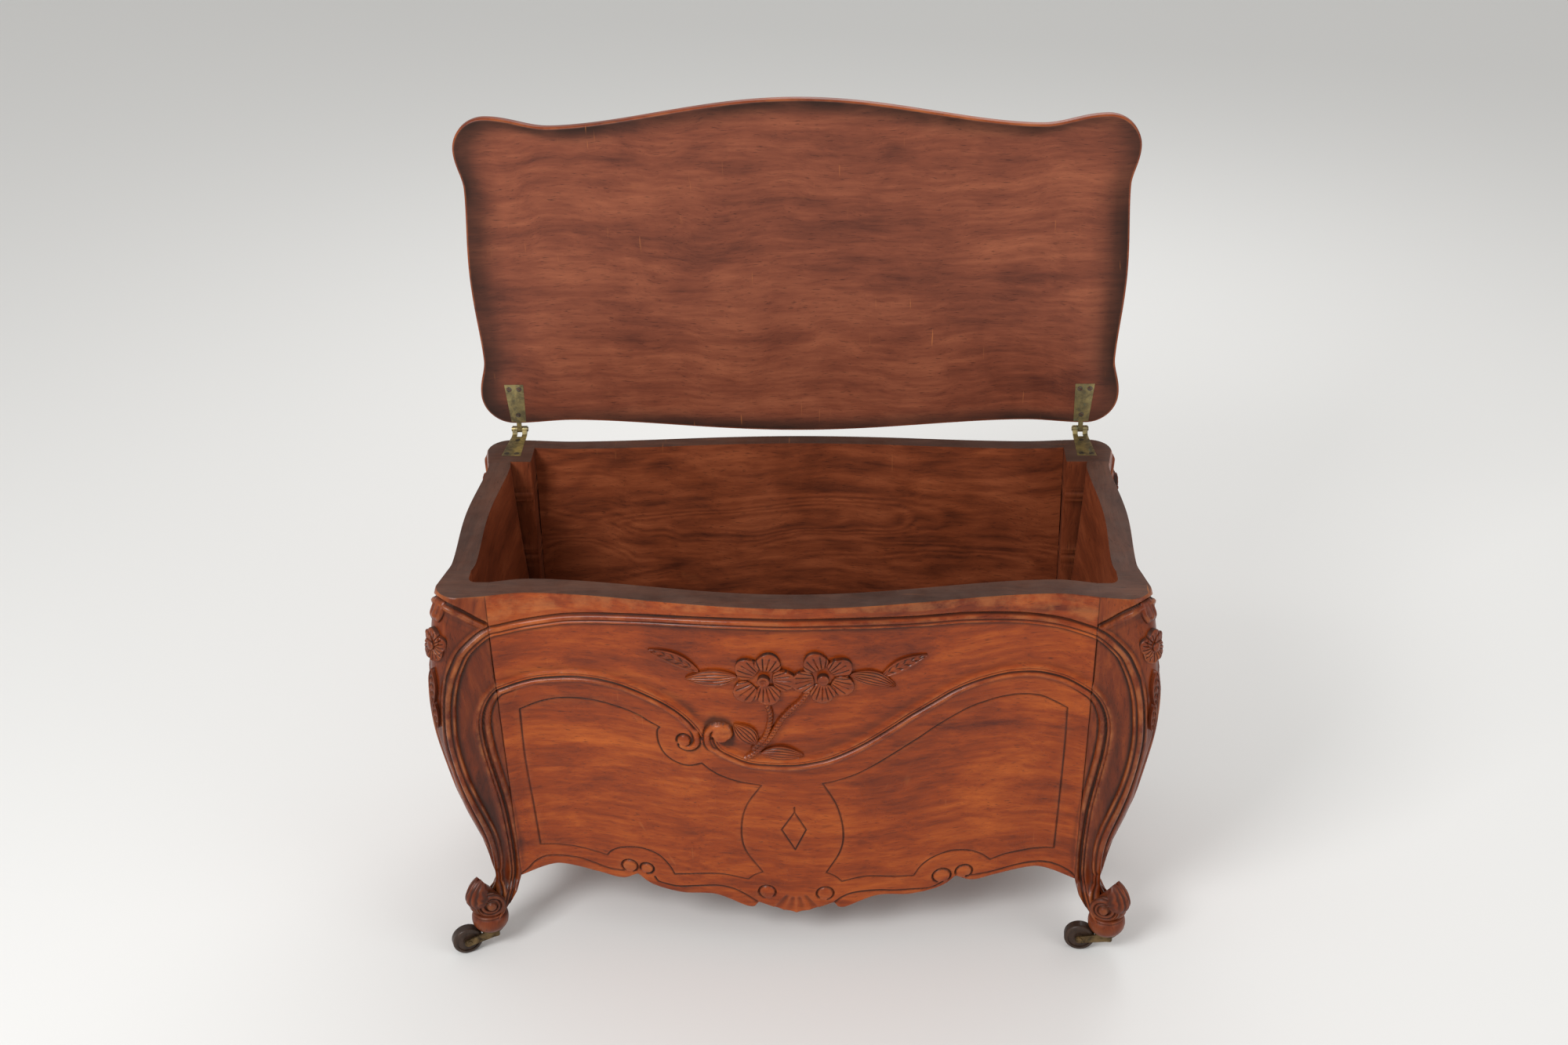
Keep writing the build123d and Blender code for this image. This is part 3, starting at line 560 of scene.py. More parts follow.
# flat buttons along the apron: centre, radius, and the angles between which their ring is cut
FRONT_BUTTONS = (
    (-220, -444, 10.5, -60, 230),
    (-197, -445, 9.0, -90, 200),
    (191, -454, 12.0, -40, 240),
    (220, -450, 11.0, -70, 200),
    (-38, -467, 11.0, -40, 250),
    (38, -469, 11.0, -70, 220),
)
FRONT_APRON = (
    ((1.0, 0), (0.89, 13), (0.83, 13), (0.72, 3), (0.635, -4), (0.575, 6)),
    ((0.575, 6), (0.52, -10), (0.415, -18), (0.29, -15), (0.17, -32), (0.135, -23)),
    ((0.135, -23), (0.055, -34.5), (0, -40)),
)
PLAIN_APRON = (((1.0, 0), (0.78, 12), (0.42, -2), (0, -14)),)
SIDE_UPPER = ((1.14, -56), (1.0, -46.5), (0.83, -39), (0.6, -32), (0.3, -27.5), (0, -26))
SIDE_LOWER = (
    (1.16, -172), (1.10, -158), (1.0, -145), (0.87, -132), (0.7, -125), (0.48, -131), (0.24, -150), (0, -162),
)
BACK_UPPER = ((1.06, -56), (1.0, -46.5), (0.88, -36), (0.7, -27), (0.4, -20), (0, -17))
BACK_LOWER = (
    (1.06, -170), (1.03, -156), (1.0, -145), (0.93, -133), (0.78, -124), (0.62, -129), (0.34, -158), (0, -178),
)


def mirrored(half_line: Points, half: float) -> list[tuple[float, float]]:
    """A whole line from its right half, given as shares of the half length."""
    right = [(share * half, drop) for share, drop in half_line]
    return [(-u, drop) for u, drop in right[:-1]] + right[::-1]


def apron_edge(u: Array, apron: Sequence, half: float) -> Array:
    """Height of the sawn lower edge above the floor, at a distance from the wall's middle."""
    share = np.abs(u) / half
    edge = np.full(np.shape(u), PLAN.apron)
    for run in apron:
        line = curve_through([(s * half, rise) for s, rise in run], 2.0)[::-1]
        held = (share * half >= line[0, 0] - 1e-9) & (share * half <= line[-1, 0] + 1e-9)
        edge = np.where(held, PLAN.apron + np.interp(share * half, line[:, 0], line[:, 1]), edge)
    return edge


def cut_depth(distance: Array, width: float, depth: float) -> Array:
    """Section of a knife-cut line: a soft V."""
    share = np.clip(distance / (width / 2), 0, 1)
    return -depth * (1 - share) * (1 + 0.6 * share * (1 - share))


def moulding(u: Array, drop: Array, upper: Array, lower: Array) -> tuple[Array, Array]:
    """Height of both mouldings and the ground between them.

    Args:
        u: positions along the face.
        drop: heights from the rim.
        upper: the upper moulding's groove line.
        lower: the lower moulding's groove line.

    Returns:
        The relief, and the signed distance above the lower line.
    """
    top = [[upper[-1, 0], OVER_ALL], [upper[0, 0], OVER_ALL]]
    bottom = [[lower[-1, 0], UNDER_ALL], [lower[0, 0], UNDER_ALL]]
    below_upper = signed_distance(u, drop, upper, top, MOULDING_REACH)
    above_lower = signed_distance(u, drop, lower, bottom, 2 * MOULDING_REACH)
    relief = profile(below_upper, UPPER_SECTION) + profile(above_lower, LOWER_SECTION) - FIELD
    return relief, above_lower


def lower_edge(above: Array, fade: Array) -> Array:
    """The shallow groove on the panel's side of the lower moulding's bead, where it has not faded."""
    return -1.5 * np.exp(-(((above + 9.4) / 1.1) ** 2)) * fade


def scroll(u: Array, drop: Array, relief: Array, parts: tuple, share: Array) -> Array:
    """Rolls the end of a moulding into a scroll.

    Args:
        u: positions along the face.
        drop: heights from the rim.
        relief: the relief that the scroll is cut into.
        parts: the bead's line, the eye, its radius and height, and the groove round it.
        share: how far the scroll has taken over from the moulding at each point.

    Returns:
        The relief with the scroll in it.
    """
    bead, eye, size, dome, groove = parts
    distance = distance_to(u, drop, curve_through(bead, 1.0), 9.0)
    held = smooth_step((5.9 - distance) / 2.6) * share
    relief = relief + (profile(distance, SCROLL_SECTION) - relief) * held
    relief = relief - 1.1 * np.exp(-(((distance - 5.2) / 1.2) ** 2)) * share
    rest = np.hypot(u - eye[0], drop - eye[1]) / size
    raised = PANEL + dome + 1.6 * np.sqrt(np.clip(1 - rest**2, 0, 1))
    relief = relief + (np.maximum(relief, raised) - relief) * smooth_step((size * (1 - rest) + 1.9) / 2.6)
    return relief + cut_depth(distance_to(u, drop, curve_through(groove, 1.0), 4.0), 4.2, 2.6)


@dataclass(frozen=True)
class Edges:
    """How the joints and the top edge of a carved face are eased, dirtied and rubbed."""

    joint_ease: tuple[float, float] = (0.4, 1.0)
    rim_ease: tuple[float, float] = (0.7, 1.5)
    joint_dirt: tuple[float, float] = (0.6, 1.3)
    rim_wear: tuple[float, float] = (0.9, 2.0)

    def near(self, amount: tuple[float, float], distance: Array) -> Array:
        """A share that is full at the edge and gone at its reach."""
        full, reach = amount
        return full * np.clip(1 - distance / reach, 0, 1)

    def ease(self, relief: Array, to_joint: Array, drop: Array) -> Array:
        """Takes the sharpness off the joints and the top edge."""
        joint = self.near((1.0, self.joint_ease[1]), to_joint) ** 2
        rim = self.near((1.0, self.rim_ease[1]), -drop) ** 2
        return relief - self.joint_ease[0] * joint - self.rim_ease[0] * rim

    def mark(self, grime_and_shade: Array, wear: Array, to_joint: Array, drop: Array) -> tuple[Array, Array]:
        """Adds the dirt in the joints and the wear along the rim."""
        grime_and_shade = np.maximum(grime_and_shade, self.near(self.joint_dirt, to_joint))
        return grime_and_shade, np.maximum(wear, self.near(self.rim_wear, -drop))


EDGES = Edges()


def masks(relief: Array, radius: int, depth: float = 0.8) -> tuple[Array, Array]:
    """Where the hollows are painted dark, as dirt and as painted shade, and where hands have worn, from a relief.

    Args:
        relief: heights over a grid, in millimetres.
        radius: how far to look around, in grid steps.
        depth: the depth at which the dirt and painted shade are full.

    Returns:
        Dirt with painted shade in the hollows, and wear, each 0 to 1.
    """
    rest = blurred(relief, radius) - relief
    return np.clip(rest / depth, 0, 1), np.clip(-rest / (1.2 * depth), 0, 1)


# ---------------- walls
@dataclass
class CarvedWall:
    """One wall of the carcass with its mouldings, cut lines and sawn apron."""

    wall: Wall
    pitch: float = 1.4
    spread: float = 1.5
    inner_rows: int = 10
    hairline: float = 0.3
    plane_marks: float = 0.10
    fascia_gap: float = 7.0
    fascia_fade: float = 4.0
    tongue: float = 5.0
    tongue_root: float = 9.0
    tongue_inset: float = 6.0
    shell_eye: float = -452.0
    shell_start: float = 17.0
    shell_spread: float = 0.62
    shell_flutes: float = 9.0
    frame_below: float = 30.0
    frame_side: float = 26.0
    frame_above: float = 42.0
    apron_groove: float = 13.0

    def lines(self) -> tuple[Array, Array]:
        """Groove lines of the upper and the lower moulding."""
        if self.wall is Wall.FRONT:
            return curve_through(FRONT_UPPER), curve_through(FRONT_LOWER)
        middle, half = self.wall.middle, self.wall.half
        pair = (BACK_UPPER, BACK_LOWER) if self.wall is Wall.BACK else (SIDE_UPPER, SIDE_LOWER)
        upper, lower = (curve_through([(middle + a, b) for a, b in mirrored(line, half)]) for line in pair)
        return upper, lower

    def row_heights(self, line: Array, edge: Array) -> Array:
        """Heights of the rows of each column, close together where the mouldings run.

        Args:
            line: the columns' places along the wall.
            edge: height of the sawn edge at each column.

        Returns:
            The heights, rows by columns, rising.
        """
        low, high = self.wall.ends
        guides = []
        for path in self.lines():
            kept = path[(path[:, 0] > low - 2) & (path[:, 0] < high + 2)]
            kept = kept[np.argsort(kept[:, 0])]
            guide = np.interp(line, kept[:, 0], kept[:, 1]) + PLAN.rim
            padded = np.pad(guide, 5, mode="edge")
            guides.append(np.convolve(padded, np.full(11, 1 / 11), mode="valid"))
        upper, lower = guides
        top = np.full_like(edge, PLAN.rim)
        stops = [edge, lower - 12, lower + 15, np.maximum(upper - 18, lower + 24), upper + 4, top]
        steps = [self.spread, 0.72, self.spread, 0.62, 1.3]
        rows = []
        for first, last, step in zip(stops, stops[1:], steps):
            count = int(math.ceil(float(np.median(last - first)) / step))
            share = np.linspace(0, 1, count, endpoint=False)[:, None]
            rows.append(first[None, :] + share * (last - first)[None, :])
        return np.vstack([*rows, stops[-1][None, :]])

    def relief(self, u: Array, drop: Array, edge: Array) -> Array:
        """Height of the carving over the wall's face."""
        middle, half = self.wall.middle, self.wall.half
        relief, above = moulding(u, drop, *self.lines())
        near_joint = smooth_step((np.abs(u - middle) - half + 32) / 30)
        relief = relief + lower_edge(above, near_joint * smooth_step((drop + 400) / 200))
        if self.wall is Wall.FRONT:
            relief = scroll(u, drop, relief, LEFT_SCROLL, smooth_step((-drop - 192) / 9) * (u < -100))
            relief = scroll(u, drop, relief, RIGHT_SCROLL, smooth_step((drop + 230) / 9) * (u > -114.5))
            relief = relief + self.front_cuts(u, drop)
        else:
            relief = relief + self.plain_cuts(u - middle, drop, edge, above, half)
        # the apron's lower edge is rounded over, and each end is eased at its joint
        rise = drop + PLAN.rim - edge
        relief = relief - 1.2 * np.clip(1 - rise / 2.0, 0, 1) ** 2
        relief = EDGES.ease(relief, half - np.abs(u - middle), drop)
        # slight hollows left by the plane
        hollows = np.sin(u / 31.0 + drop / 57.0) * np.sin(drop / 23.0 - u / 83.0)
        return relief + self.plane_marks * hollows

    def front_cuts(self, u: Array, drop: Array) -> Array:
        """Knife-cut frame, cartouche, apron grooves, buttons and shell of the front."""
        cuts = np.zeros(u.shape)
        for run in FRONT_CUTS:
            line = curve_through(run) if len(run) > 2 else np.array(run, float)
            cuts = np.minimum(cuts, cut_depth(distance_to(u, drop, line, 3.0), 3.6, 1.5))
        for run in FRONT_APRON_GROOVES:
            near = distance_to(u, drop, curve_through(run), 6.0)
            cuts = np.minimum(cuts, cut_depth(near, 4.6, 1.9))
        rim = np.zeros(u.shape)
        for x, y, radius, start, end in FRONT_BUTTONS:
            angles = np.radians(np.linspace(start, end, 25))
            ring = np.stack([x + radius * np.cos(angles), y + radius * np.sin(angles)], axis=1)
            cuts = np.minimum(cuts, cut_depth(distance_to(u, drop, ring, 5.0), 4.2, 2.4))
            rest = np.hypot(u - x, drop - y) / radius
            rim = np.maximum(rim, 1.5 * np.clip(1 - rest**2.5, 0, 1))
        # the shell between the two middle scrolls
        angle = np.arctan2(u, self.shell_eye - drop)
        far = np.hypot(u, drop - self.shell_eye)
        shell = (np.abs(angle) < self.shell_spread) & (far > self.shell_start)
        flutes = np.abs(np.sin(angle * self.shell_flutes)) ** 0.7
        flutes = -1.5 * flutes * smooth_step((far - self.shell_start) / 10)
        cuts = np.where(shell, np.minimum(cuts, flutes + 0.4), cuts)
        return cuts + rim

    def plain_cuts(self, t: Array, drop: Array, edge: Array, above: Array, half: float) -> Array:
        """A knife-cut frame inside the lower panel and a groove along the apron."""
        frame = np.minimum(-above - self.frame_below, half - self.frame_side - np.abs(t))
        rise = drop + PLAN.rim - edge
        frame = np.minimum(frame, rise - self.frame_above)
        cuts = cut_depth(np.abs(frame), 3.4, 1.3)
        return np.minimum(cuts, cut_depth(np.abs(rise - self.apron_groove), 4.4, 1.7))

    def make(self, materials: Materials) -> Piece:
        """Builds the wall as one closed mesh: carved outside, plain inside."""
        middle, half = self.wall.middle, self.wall.half - self.hairline / 2
        columns = int(round(2 * half / self.pitch)) + 1
        line = np.linspace(middle - half, middle + half, columns)
        apron = FRONT_APRON if self.wall is Wall.FRONT else PLAIN_APRON
        edge = apron_edge(line - middle, apron, half)
        z = self.row_heights(line, edge)
        u = np.broadcast_to(line[None, :], z.shape)
        base = self.wall.surface(u, z)
        relief = self.relief(u, z - PLAN.rim, edge[None, :])
        # the hollows of the carving are painted dark, as dirt and painted shade; the joints are darkened as dirt
        grime_and_shade, wear = EDGES.mark(*masks(relief, 4), half - np.abs(u - middle), z - PLAN.rim)
        edge_wear = np.clip(1 - (z - edge[None, :]) / 2.5, 0, 1)
        # the fascia under the rim is painted paler, in the rubbed colour
        upper = self.lines()[0]
        above = z - PLAN.rim - np.interp(line, upper[:, 0], upper[:, 1])
        fascia = smooth_step((above - self.fascia_gap) / self.fascia_fade)
        wear = np.maximum.reduce([wear, 0.8 * edge_wear, fascia])
        carved = base + normals_of(base) * relief[..., None]
        carved[..., 2] = np.clip(carved[..., 2], None, PLAN.rim)
        maker = MeshMaker(self.wall.node + "_carved")
        outer = maker.add_grid(carved, grime_and_shade, wear)
        # inside face, its own rows from the apron to the rim
        thickness = self.wall.value[3]
        inner_share = np.linspace(0, 1, self.inner_rows)[:, None]
        inner_z = edge[None, :] + inner_share * (PLAN.rim - edge[None, :])
        inner_u = np.broadcast_to(line[None, :], inner_z.shape)
        back = self.wall.surface(inner_u, inner_z, thickness)
        if self.wall in (Wall.RIGHT, Wall.LEFT):
            # the ends of the side walls' inner faces are trimmed clear of the long walls
            trim = PLAN.recess(inner_z, 13.0)
            scale = (half - trim) / half
            squeezed = middle + (inner_u - middle) * scale
            back = self.wall.surface(squeezed, inner_z, thickness)
        inner = maker.add_grid(back, material=1, flip=True)
        maker.add_grid(np.stack([carved[-1], back[-1]]), material=2)
        maker.add_quads(np.vstack([inner[0], outer[0]]), 0)
        maker.add_ring(list(outer[:, 0]) + list(inner[::-1, 0]), 1)
        maker.add_ring(list(outer[::-1, -1]) + list(inner[:, -1]), 1)
        self.add_tongues(maker, edge)
        piece = maker.build(materials)
        return settle(piece, "carcass", "carcass_wood", self.wall.node)

    def add_tongues(self, maker: MeshMaker, edge: Array) -> None:
        """Tongues that reach into the legs, so that no light shows through the joints."""
        low, high, thickness = self.wall.value[1:]
        for end, bottom, out in ((low, edge[0], -1), (high, edge[-1], 1)):
            rise = np.linspace(bottom + self.tongue_inset, PLAN.rim - 2.0, 30)
            z, u = np.meshgrid(rise, end + out * np.array([-self.tongue_root, self.tongue]), indexing="ij")
            front, rear = (self.wall.surface(u, z, share * thickness) for share in (0.4, 0.6))
            sides = np.concatenate([front, rear[:, ::-1]], axis=1)
            ring = maker.add_grid(sides, material=1, flip=out < 0, closed=True)
            maker.add_ring(list(ring[-1][::out]), 1)
            maker.add_ring(list(ring[0][::-out]), 1)


# ---------------- legs
SHAFT = (
    (0.0, 30.0), (9.5, 29.0), (14.0, 28.0), (17.0, 27.0), (18.0, 26.0), (17.5, 24.0), (15.0, 22.0),
    (10.5, 20.0), (5.5, 18.0), (0.5, 16.0), (-6.0, 14.0), (-14.0, 12.0), (-22.0, 10.0), (-28.0, 8.5), (-29.5, 8.0),
)
ANKLE = ((-26.0, 9.0), (-17.0, 11.0), (-7.0, 14.0))
SHAFT_LOW = 100.0
ANKLE_LOW = 58.0
ANKLE_SWEEP = ((0.0, 0.0), (1 / 3, 5.0), (2 / 3, 14.0), (1.0, 26.0))
# groove line of the upper moulding on a leg: distance from the middle plane, and drop from the rim
LEG_OUTER = (
    (350, -42), (365, -46.5), (380, -54.5), (400, -72), (410, -90), (418, -110), (424, -135), (427.5, -165),
    (429, -200), (426.5, -240), (421, -280), (413, -320), (406.5, -350), (402, -375), (399.5, -400),
    (398.5, -430), (398.7, -455), (400, -478), (404, -505),
)
# the S-shaped groove that parts the plain lobe from the hollow of the shoulder, and its section
LEG_S = (
    (362, -45), (366, -41.5), (369.5, -37.5), (377.6, -30.5), (390.3, -19.2), (403.3, -10.6), (416.8, -6.5),
    (426, -6),
)
SHOULDER_SECTION = (
    (-2.5, 0), (-1, -2.4), (0, -4.4), (1.2, -3.2), (2.6, 0.2), (4.5, 1.7), (6.5, 1.0), (9, -1.2), (13, -2.9),
    (20.0, -4.0),
)
# middle line of the leaves behind the scroll: distance out from the foot's centre, and height
FOOT_LEAF_SPINE = ((28, 80), (31, 89), (29.5, 98), (24, 107), (16.5, 114), (10, 118))
# the turned pad: radius and height up its side, and by height its dirt with painted shade in its crease and at its
# ends, and its wear
PAD_SECTION = (
    (0.0, 34.6), (17.5, 34.6), (19.2, 35.4), (21.5, 38.0), (23.7, 42.5), (24.4, 47.5), (24.0, 52.5), (22.4, 56.4),
    (21.2, 57.6), (20.9, 58.2), (21.8, 59.2), (22.1, 60.4), (21.2, 61.6), (18.0, 62.6), (0.0, 63.4),
)
PAD_DIRT_AND_SHADE = ((34, 0.8), (36, 0.25), (57, 0.2), (58.2, 0.9), (59.4, 0.3), (64, 0.5))
PAD_WEAR = ((38, 0), (47, 0.35), (55, 0), (59, 0), (60.5, 0.5), (62, 0))


@dataclass
class LegSkin:
    """Outer skin of a leg as unrolled from its front joint round the corner to its side joint."""

    back: bool

    @property
    def reach(self) -> tuple[float, float]:
        """Where the lobe ends, counted outwards along X and Y from the middle planes."""
        return (PLAN.rear_half, PLAN.rear_y) if self.back else (PLAN.front_half, -PLAN.front_y)

    def section(self, height: Array) -> dict[str, Array]:
        """Sizes of the leg's section at each height."""
        stations = np.linspace(PLAN.rim, SHAFT_LOW, len(SHAFT))[::-1]
        ankle = np.linspace(SHAFT_LOW, ANKLE_LOW, len(ANKLE) + 1)[1:][::-1]
        xs = np.concatenate([ankle, stations])
        out = smooth_values(height, xs, [o for o, _ in ANKLE[::-1]] + [o for o, _ in SHAFT[::-1]])
        radius = smooth_values(height, xs, [r for _, r in ANKLE[::-1]] + [r for _, r in SHAFT[::-1]])
        low = np.clip((SHAFT_LOW - height) / (SHAFT_LOW - ANKLE_LOW), 0, 1)
        sweep = profile(low, ANKLE_SWEEP)
        half, deep = self.reach
        joint_x, joint_y = half - PLAN.stile, deep - PLAN.stile
        face = PLAN.rear(joint_x, height) if self.back else -PLAN.front(joint_x, height)
        side = PLAN.side(joint_y if self.back else -joint_y, height)
        corner_x, corner_y = half + out, deep + out
        squared = smooth_step(low * 3)
        return {
            "inner_x": joint_x + sweep, "inner_y": joint_y + sweep, "corner_x": corner_x, "corner_y": corner_y,
            "face": face + (corner_y - face) * squared, "side": side + (corner_x - side) * squared,
            "radius": radius,
        }

    def grid(self, height: Array, flat: int, bend: int) -> tuple[Array, Array, Array]:
        """Points of the skin, with distances counted outwards both ways.

        Args:
            height: heights above the floor.
            flat: columns on each flat face.
            bend: columns round the corner.

        Returns:
            X, outward Y and the distance from the corner's middle, rows by columns.
        """
        s = {k: v[:, None] for k, v in self.section(height).items()}
        t = np.linspace(0, 1, flat, endpoint=False)[None, :]
        start_x, end_y = s["corner_x"] - s["radius"], s["corner_y"] - s["radius"]
        front_x = s["inner_x"] + (start_x - s["inner_x"]) * t
        front_y = s["face"] + (s["corner_y"] - s["face"]) * t
        front_w = -(start_x - front_x) - s["radius"] * math.pi / 4
        angle = np.linspace(0, math.pi / 2, bend)[None, :]
        bend_x = start_x + s["radius"] * np.sin(angle)
        bend_y = end_y + s["radius"] * np.cos(angle)
        bend_w = (angle - math.pi / 4) * s["radius"]
        t = np.linspace(0, 1, flat + 1)[None, 1:]
        side_x = s["corner_x"] + (s["side"] - s["corner_x"]) * t
        side_y = end_y + (s["inner_y"] - end_y) * t
        side_w = (end_y - side_y) + s["radius"] * math.pi / 4
        return (
            np.hstack([front_x, bend_x, side_x]),
            np.hstack([front_y, bend_y, side_y]),
            np.hstack([front_w, bend_w, side_w]),
        )

    def unrolled(self, line: Points) -> Array:
        """A line given by its distance from the middle plane, turned to distance from the corner."""
        path = curve_through(line, 4.0)
        front = LegSkin(False).section(PLAN.rim + path[:, 1])
        start = front["corner_x"] - front["radius"]
        lean = np.clip((path[:, 0] - start) / front["radius"], 0, 1)
        w = np.maximum(start - path[:, 0], 0) + (math.pi / 4 - np.arcsin(lean)) * front["radius"]
        return np.stack([w, path[:, 1]], axis=1)


@dataclass
class CarvedLeg:
    """A corner leg: lobed top, carved shoulder, moulded cabriole shaft, scroll and turned pad.

    The scroll's line is counted from the foot's centre, and the bed of the hinge leaf outwards from the
    middle planes of the chest.
    """

    corner: str
    pitch: float = 1.5
    flat: int = 34
    bend: int = 27
    front_wall: float = 32.0
    side_wall: float = 30.0
    inner_round: float = 10.0
    hollow_low: float = 300.0
    scroll_radius: float = 18.5
    scroll_line: tuple = ((-8.0, 18.0), (7.5, 7.5), (18.0, -8.0))
    scroll_height: float = 81.0
    whorl_start: float = 6.0
    whorl_pitch: float = 6.3
    whorl_eye: float = 6.4
    whorl_pit: float = 7.4
    foot_inset: float = 20.0
    leaf_sides: tuple = (372.9, 394.1)
    leaf_far: tuple = (399.1, 133.9)
    leaf_deep: float = 2.1

    @property
    def right(self) -> bool:
        """Whether the leg stands on the right."""
        return self.corner.endswith("right")

    @property
    def back(self) -> bool:
        """Whether the leg stands at the back."""
        return self.corner.startswith("rear")

    @property
    def signs(self) -> tuple[int, int]:
        """Outward signs along X and Y."""
        return (1 if self.right else -1), (1 if self.back else -1)

    @property
    def turned(self) -> bool:
        """Whether faces made for the right front leg look inwards on this one."""
        sx, sy = self.signs
        return sx * sy > 0

    def put(self, x: Array, y: Array, z: Array) -> Array:
        """Points from distances counted outwards."""
        sx, sy = self.signs
        return np.stack(np.broadcast_arrays(sx * x, sy * y, z), axis=-1)

    def relief(self, w: Array, drop: Array) -> Array:
        """Height of the carving over the skin, the same on both faces of the corner."""
        skin = LegSkin(self.back)
        away = np.abs(w)
        near, far = -20.0, 140.0
        # outer moulding: the field lies on the joint's side of its line
        outer, inner = skin.unrolled(LEG_OUTER), skin.unrolled(LEG_INNER)
        top = [[near, outer[-1, 1]], [near, OVER_ALL], [far, OVER_ALL], [far, outer[0, 1]]]
        to_outer = signed_distance(away, drop, outer, top, MOULDING_REACH)
        joint = [[far, inner[-1, 1]], [far, inner[0, 1]]]
        to_inner = signed_distance(away, drop, inner, joint, MOULDING_REACH)
        relief = profile(to_outer, UPPER_SECTION) + profile(to_inner, LOWER_SECTION) - FIELD
        relief = relief + lower_edge(to_inner, smooth_step((drop + 400) / 200))
        # the hollow of the shoulder, parted from the lobe by the S-shaped groove
        s_line = skin.unrolled(LEG_S)
        s_line = np.vstack([s_line, [[-10, s_line[-1, 1]]]])
        top = [[-10, OVER_ALL], [far, OVER_ALL], [far, s_line[0, 1]]]
        below = signed_distance(away, drop, s_line, top, SHOULDER_SECTION[-1][0])
        ease = np.clip(-to_outer / 7.0, 0, 1)
        fade = smooth_step((drop + 235.0) / 90.0)
        return relief + np.where(to_outer < 0, profile(below, SHOULDER_SECTION) * ease * fade, 0.0)

    def make(self, materials: Materials) -> Piece:
        """Builds the leg as one piece."""
        maker = MeshMaker(f"{self.corner}_leg_carved")
        skin = LegSkin(self.back)
        shaft = np.linspace(PLAN.rim, self.hollow_low, int((PLAN.rim - self.hollow_low) / self.pitch))
        lower = np.linspace(self.hollow_low, ANKLE_LOW, int((self.hollow_low - ANKLE_LOW) / self.pitch))
        height = np.concatenate([shaft, lower])
        x, y, w = skin.grid(height, self.flat, self.bend)
        drop = height[:, None] - PLAN.rim + np.zeros_like(w)
        relief = self.relief(w, drop)
        joint = np.minimum(w - w[:, :1], w[:, -1:] - w)
        relief = EDGES.ease(relief, joint, drop)
        # the hollows of the carving are painted dark, as dirt and painted shade; the joints are darkened as dirt
        grime_and_shade, wear = EDGES.mark(*masks(relief, 3), joint, drop)
        plain = np.stack([x, -y, height[:, None] + np.zeros_like(x)], axis=-1)[::-1]
        normal = normals_of(plain)[::-1]
        carved = plain[::-1] + normal * relief[..., None]
        carved[..., 2] = height[:, None]
        carved_x, carved_y = carved[..., 0], -carved[..., 1]
        s = skin.section(height)
        # inside corner: hollowed in line with the walls on the front legs, square elsewhere
        hollowed = (np.arange(len(height)) < len(shaft)) & (not self.back)
        ix, iy = s["inner_x"], s["inner_y"]
        reach_x = np.where(hollowed, np.maximum(s["side"] - self.side_wall, ix + 1), ix + 0.6)
        reach_y = np.where(hollowed, np.maximum(s["face"] - self.front_wall, iy + 1), iy + 0.6)
        arc = np.minimum(np.where(hollowed, self.inner_round, 0.3), np.minimum(reach_x - ix, reach_y - iy) * 0.9)
        turn = np.linspace(0, math.pi / 2, 7)
        arc_x = (reach_x - arc)[:, None] + arc[:, None] * np.cos(turn)
        arc_y = (reach_y - arc)[:, None] + arc[:, None] * np.sin(turn)
        ring_x = np.hstack([carved_x, reach_x[:, None], arc_x, ix[:, None]])
        ring_y = np.hstack([carved_y, iy[:, None], arc_y, reach_y[:, None]])
        level = height[:, None] + np.zeros_like(ring_x)
        bed = (0, 0)
        if self.back:
            # the bed of the hinge leaf is open at the back
            near, far = self.leaf_sides
            row = ring_x[0, : self.flat + self.bend // 2]
            bed = int(np.searchsorted(row, near)), int(np.searchsorted(row, far))
            ring_x[:2, [bed[0] - 1, bed[0], bed[1] - 1, bed[1]]] = (near, near + 0.05, far - 0.05, far)
            level[:2, bed[0] : bed[1]] = PLAN.rim - self.leaf_deep
        ring = self.put(ring_x, ring_y, level)
        none = np.zeros((len(height), ring_x.shape[1] - carved_x.shape[1]))
        indices = maker.add_points(ring, np.hstack([grime_and_shade, none]), np.hstack([wear, none]))
        last = carved_x.shape[1]
        maker.add_quads(indices[:, :last], 0, flip=self.turned)
        maker.add_quads(np.hstack([indices[:, last - 1 :], indices[:, :1]]), 1, flip=self.turned)
        self.add_top(maker, ring[0], *bed)
        maker.add_ring(list(indices[-1])[:: 1 if self.turned else -1], 1)
        self.add_pad(maker)
        self.add_scroll(maker)
        self.add_foot_leaves(maker)
        self.add_shoulder(maker)
        piece = maker.build(materials)
        return settle(piece, "carcass", "carcass_wood", f"{self.corner}_leg")

    def add_top(self, maker: MeshMaker, ring: Array, first: int, after: int) -> None:
        """The top face, with the bed of the lower hinge leaf let into it on the back legs.

        Args:
            maker: the leg's mesh.
            ring: points round the leg at its top.
            first: first point of the bed.
            after: first point beyond the bed.
        """
        turn = -1 if self.turned else 1
        if not self.back:
            maker.add_ring(list(maker.add_points(ring))[::turn], 2)
            return
        far = self.put(np.array([self.leaf_sides[0], self.leaf_far[0]]), self.leaf_far[1], PLAN.rim)
        high = list(maker.add_points(np.vstack([ring[:first], far, ring[after:]])))
        deep = far[::-1] - np.array([0, 0, self.leaf_deep])
        low = list(maker.add_points(np.vstack([ring[first:after], deep])))
        maker.add_ring(high[::turn], 2)
        maker.add_ring(low[::turn], 2)
        sides = [high[first - 1 : first + 3], [low[0], low[-1], low[-2], low[after - first - 1]]]
        maker.add_quads(np.array(sides), 2, flip=self.turned)

    # the foot
    @property
    def foot(self) -> tuple[float, float]:
        """Centre of the foot, counted outwards."""
        half, deep = LegSkin(self.back).reach
        return half - self.foot_inset, deep - self.foot_inset

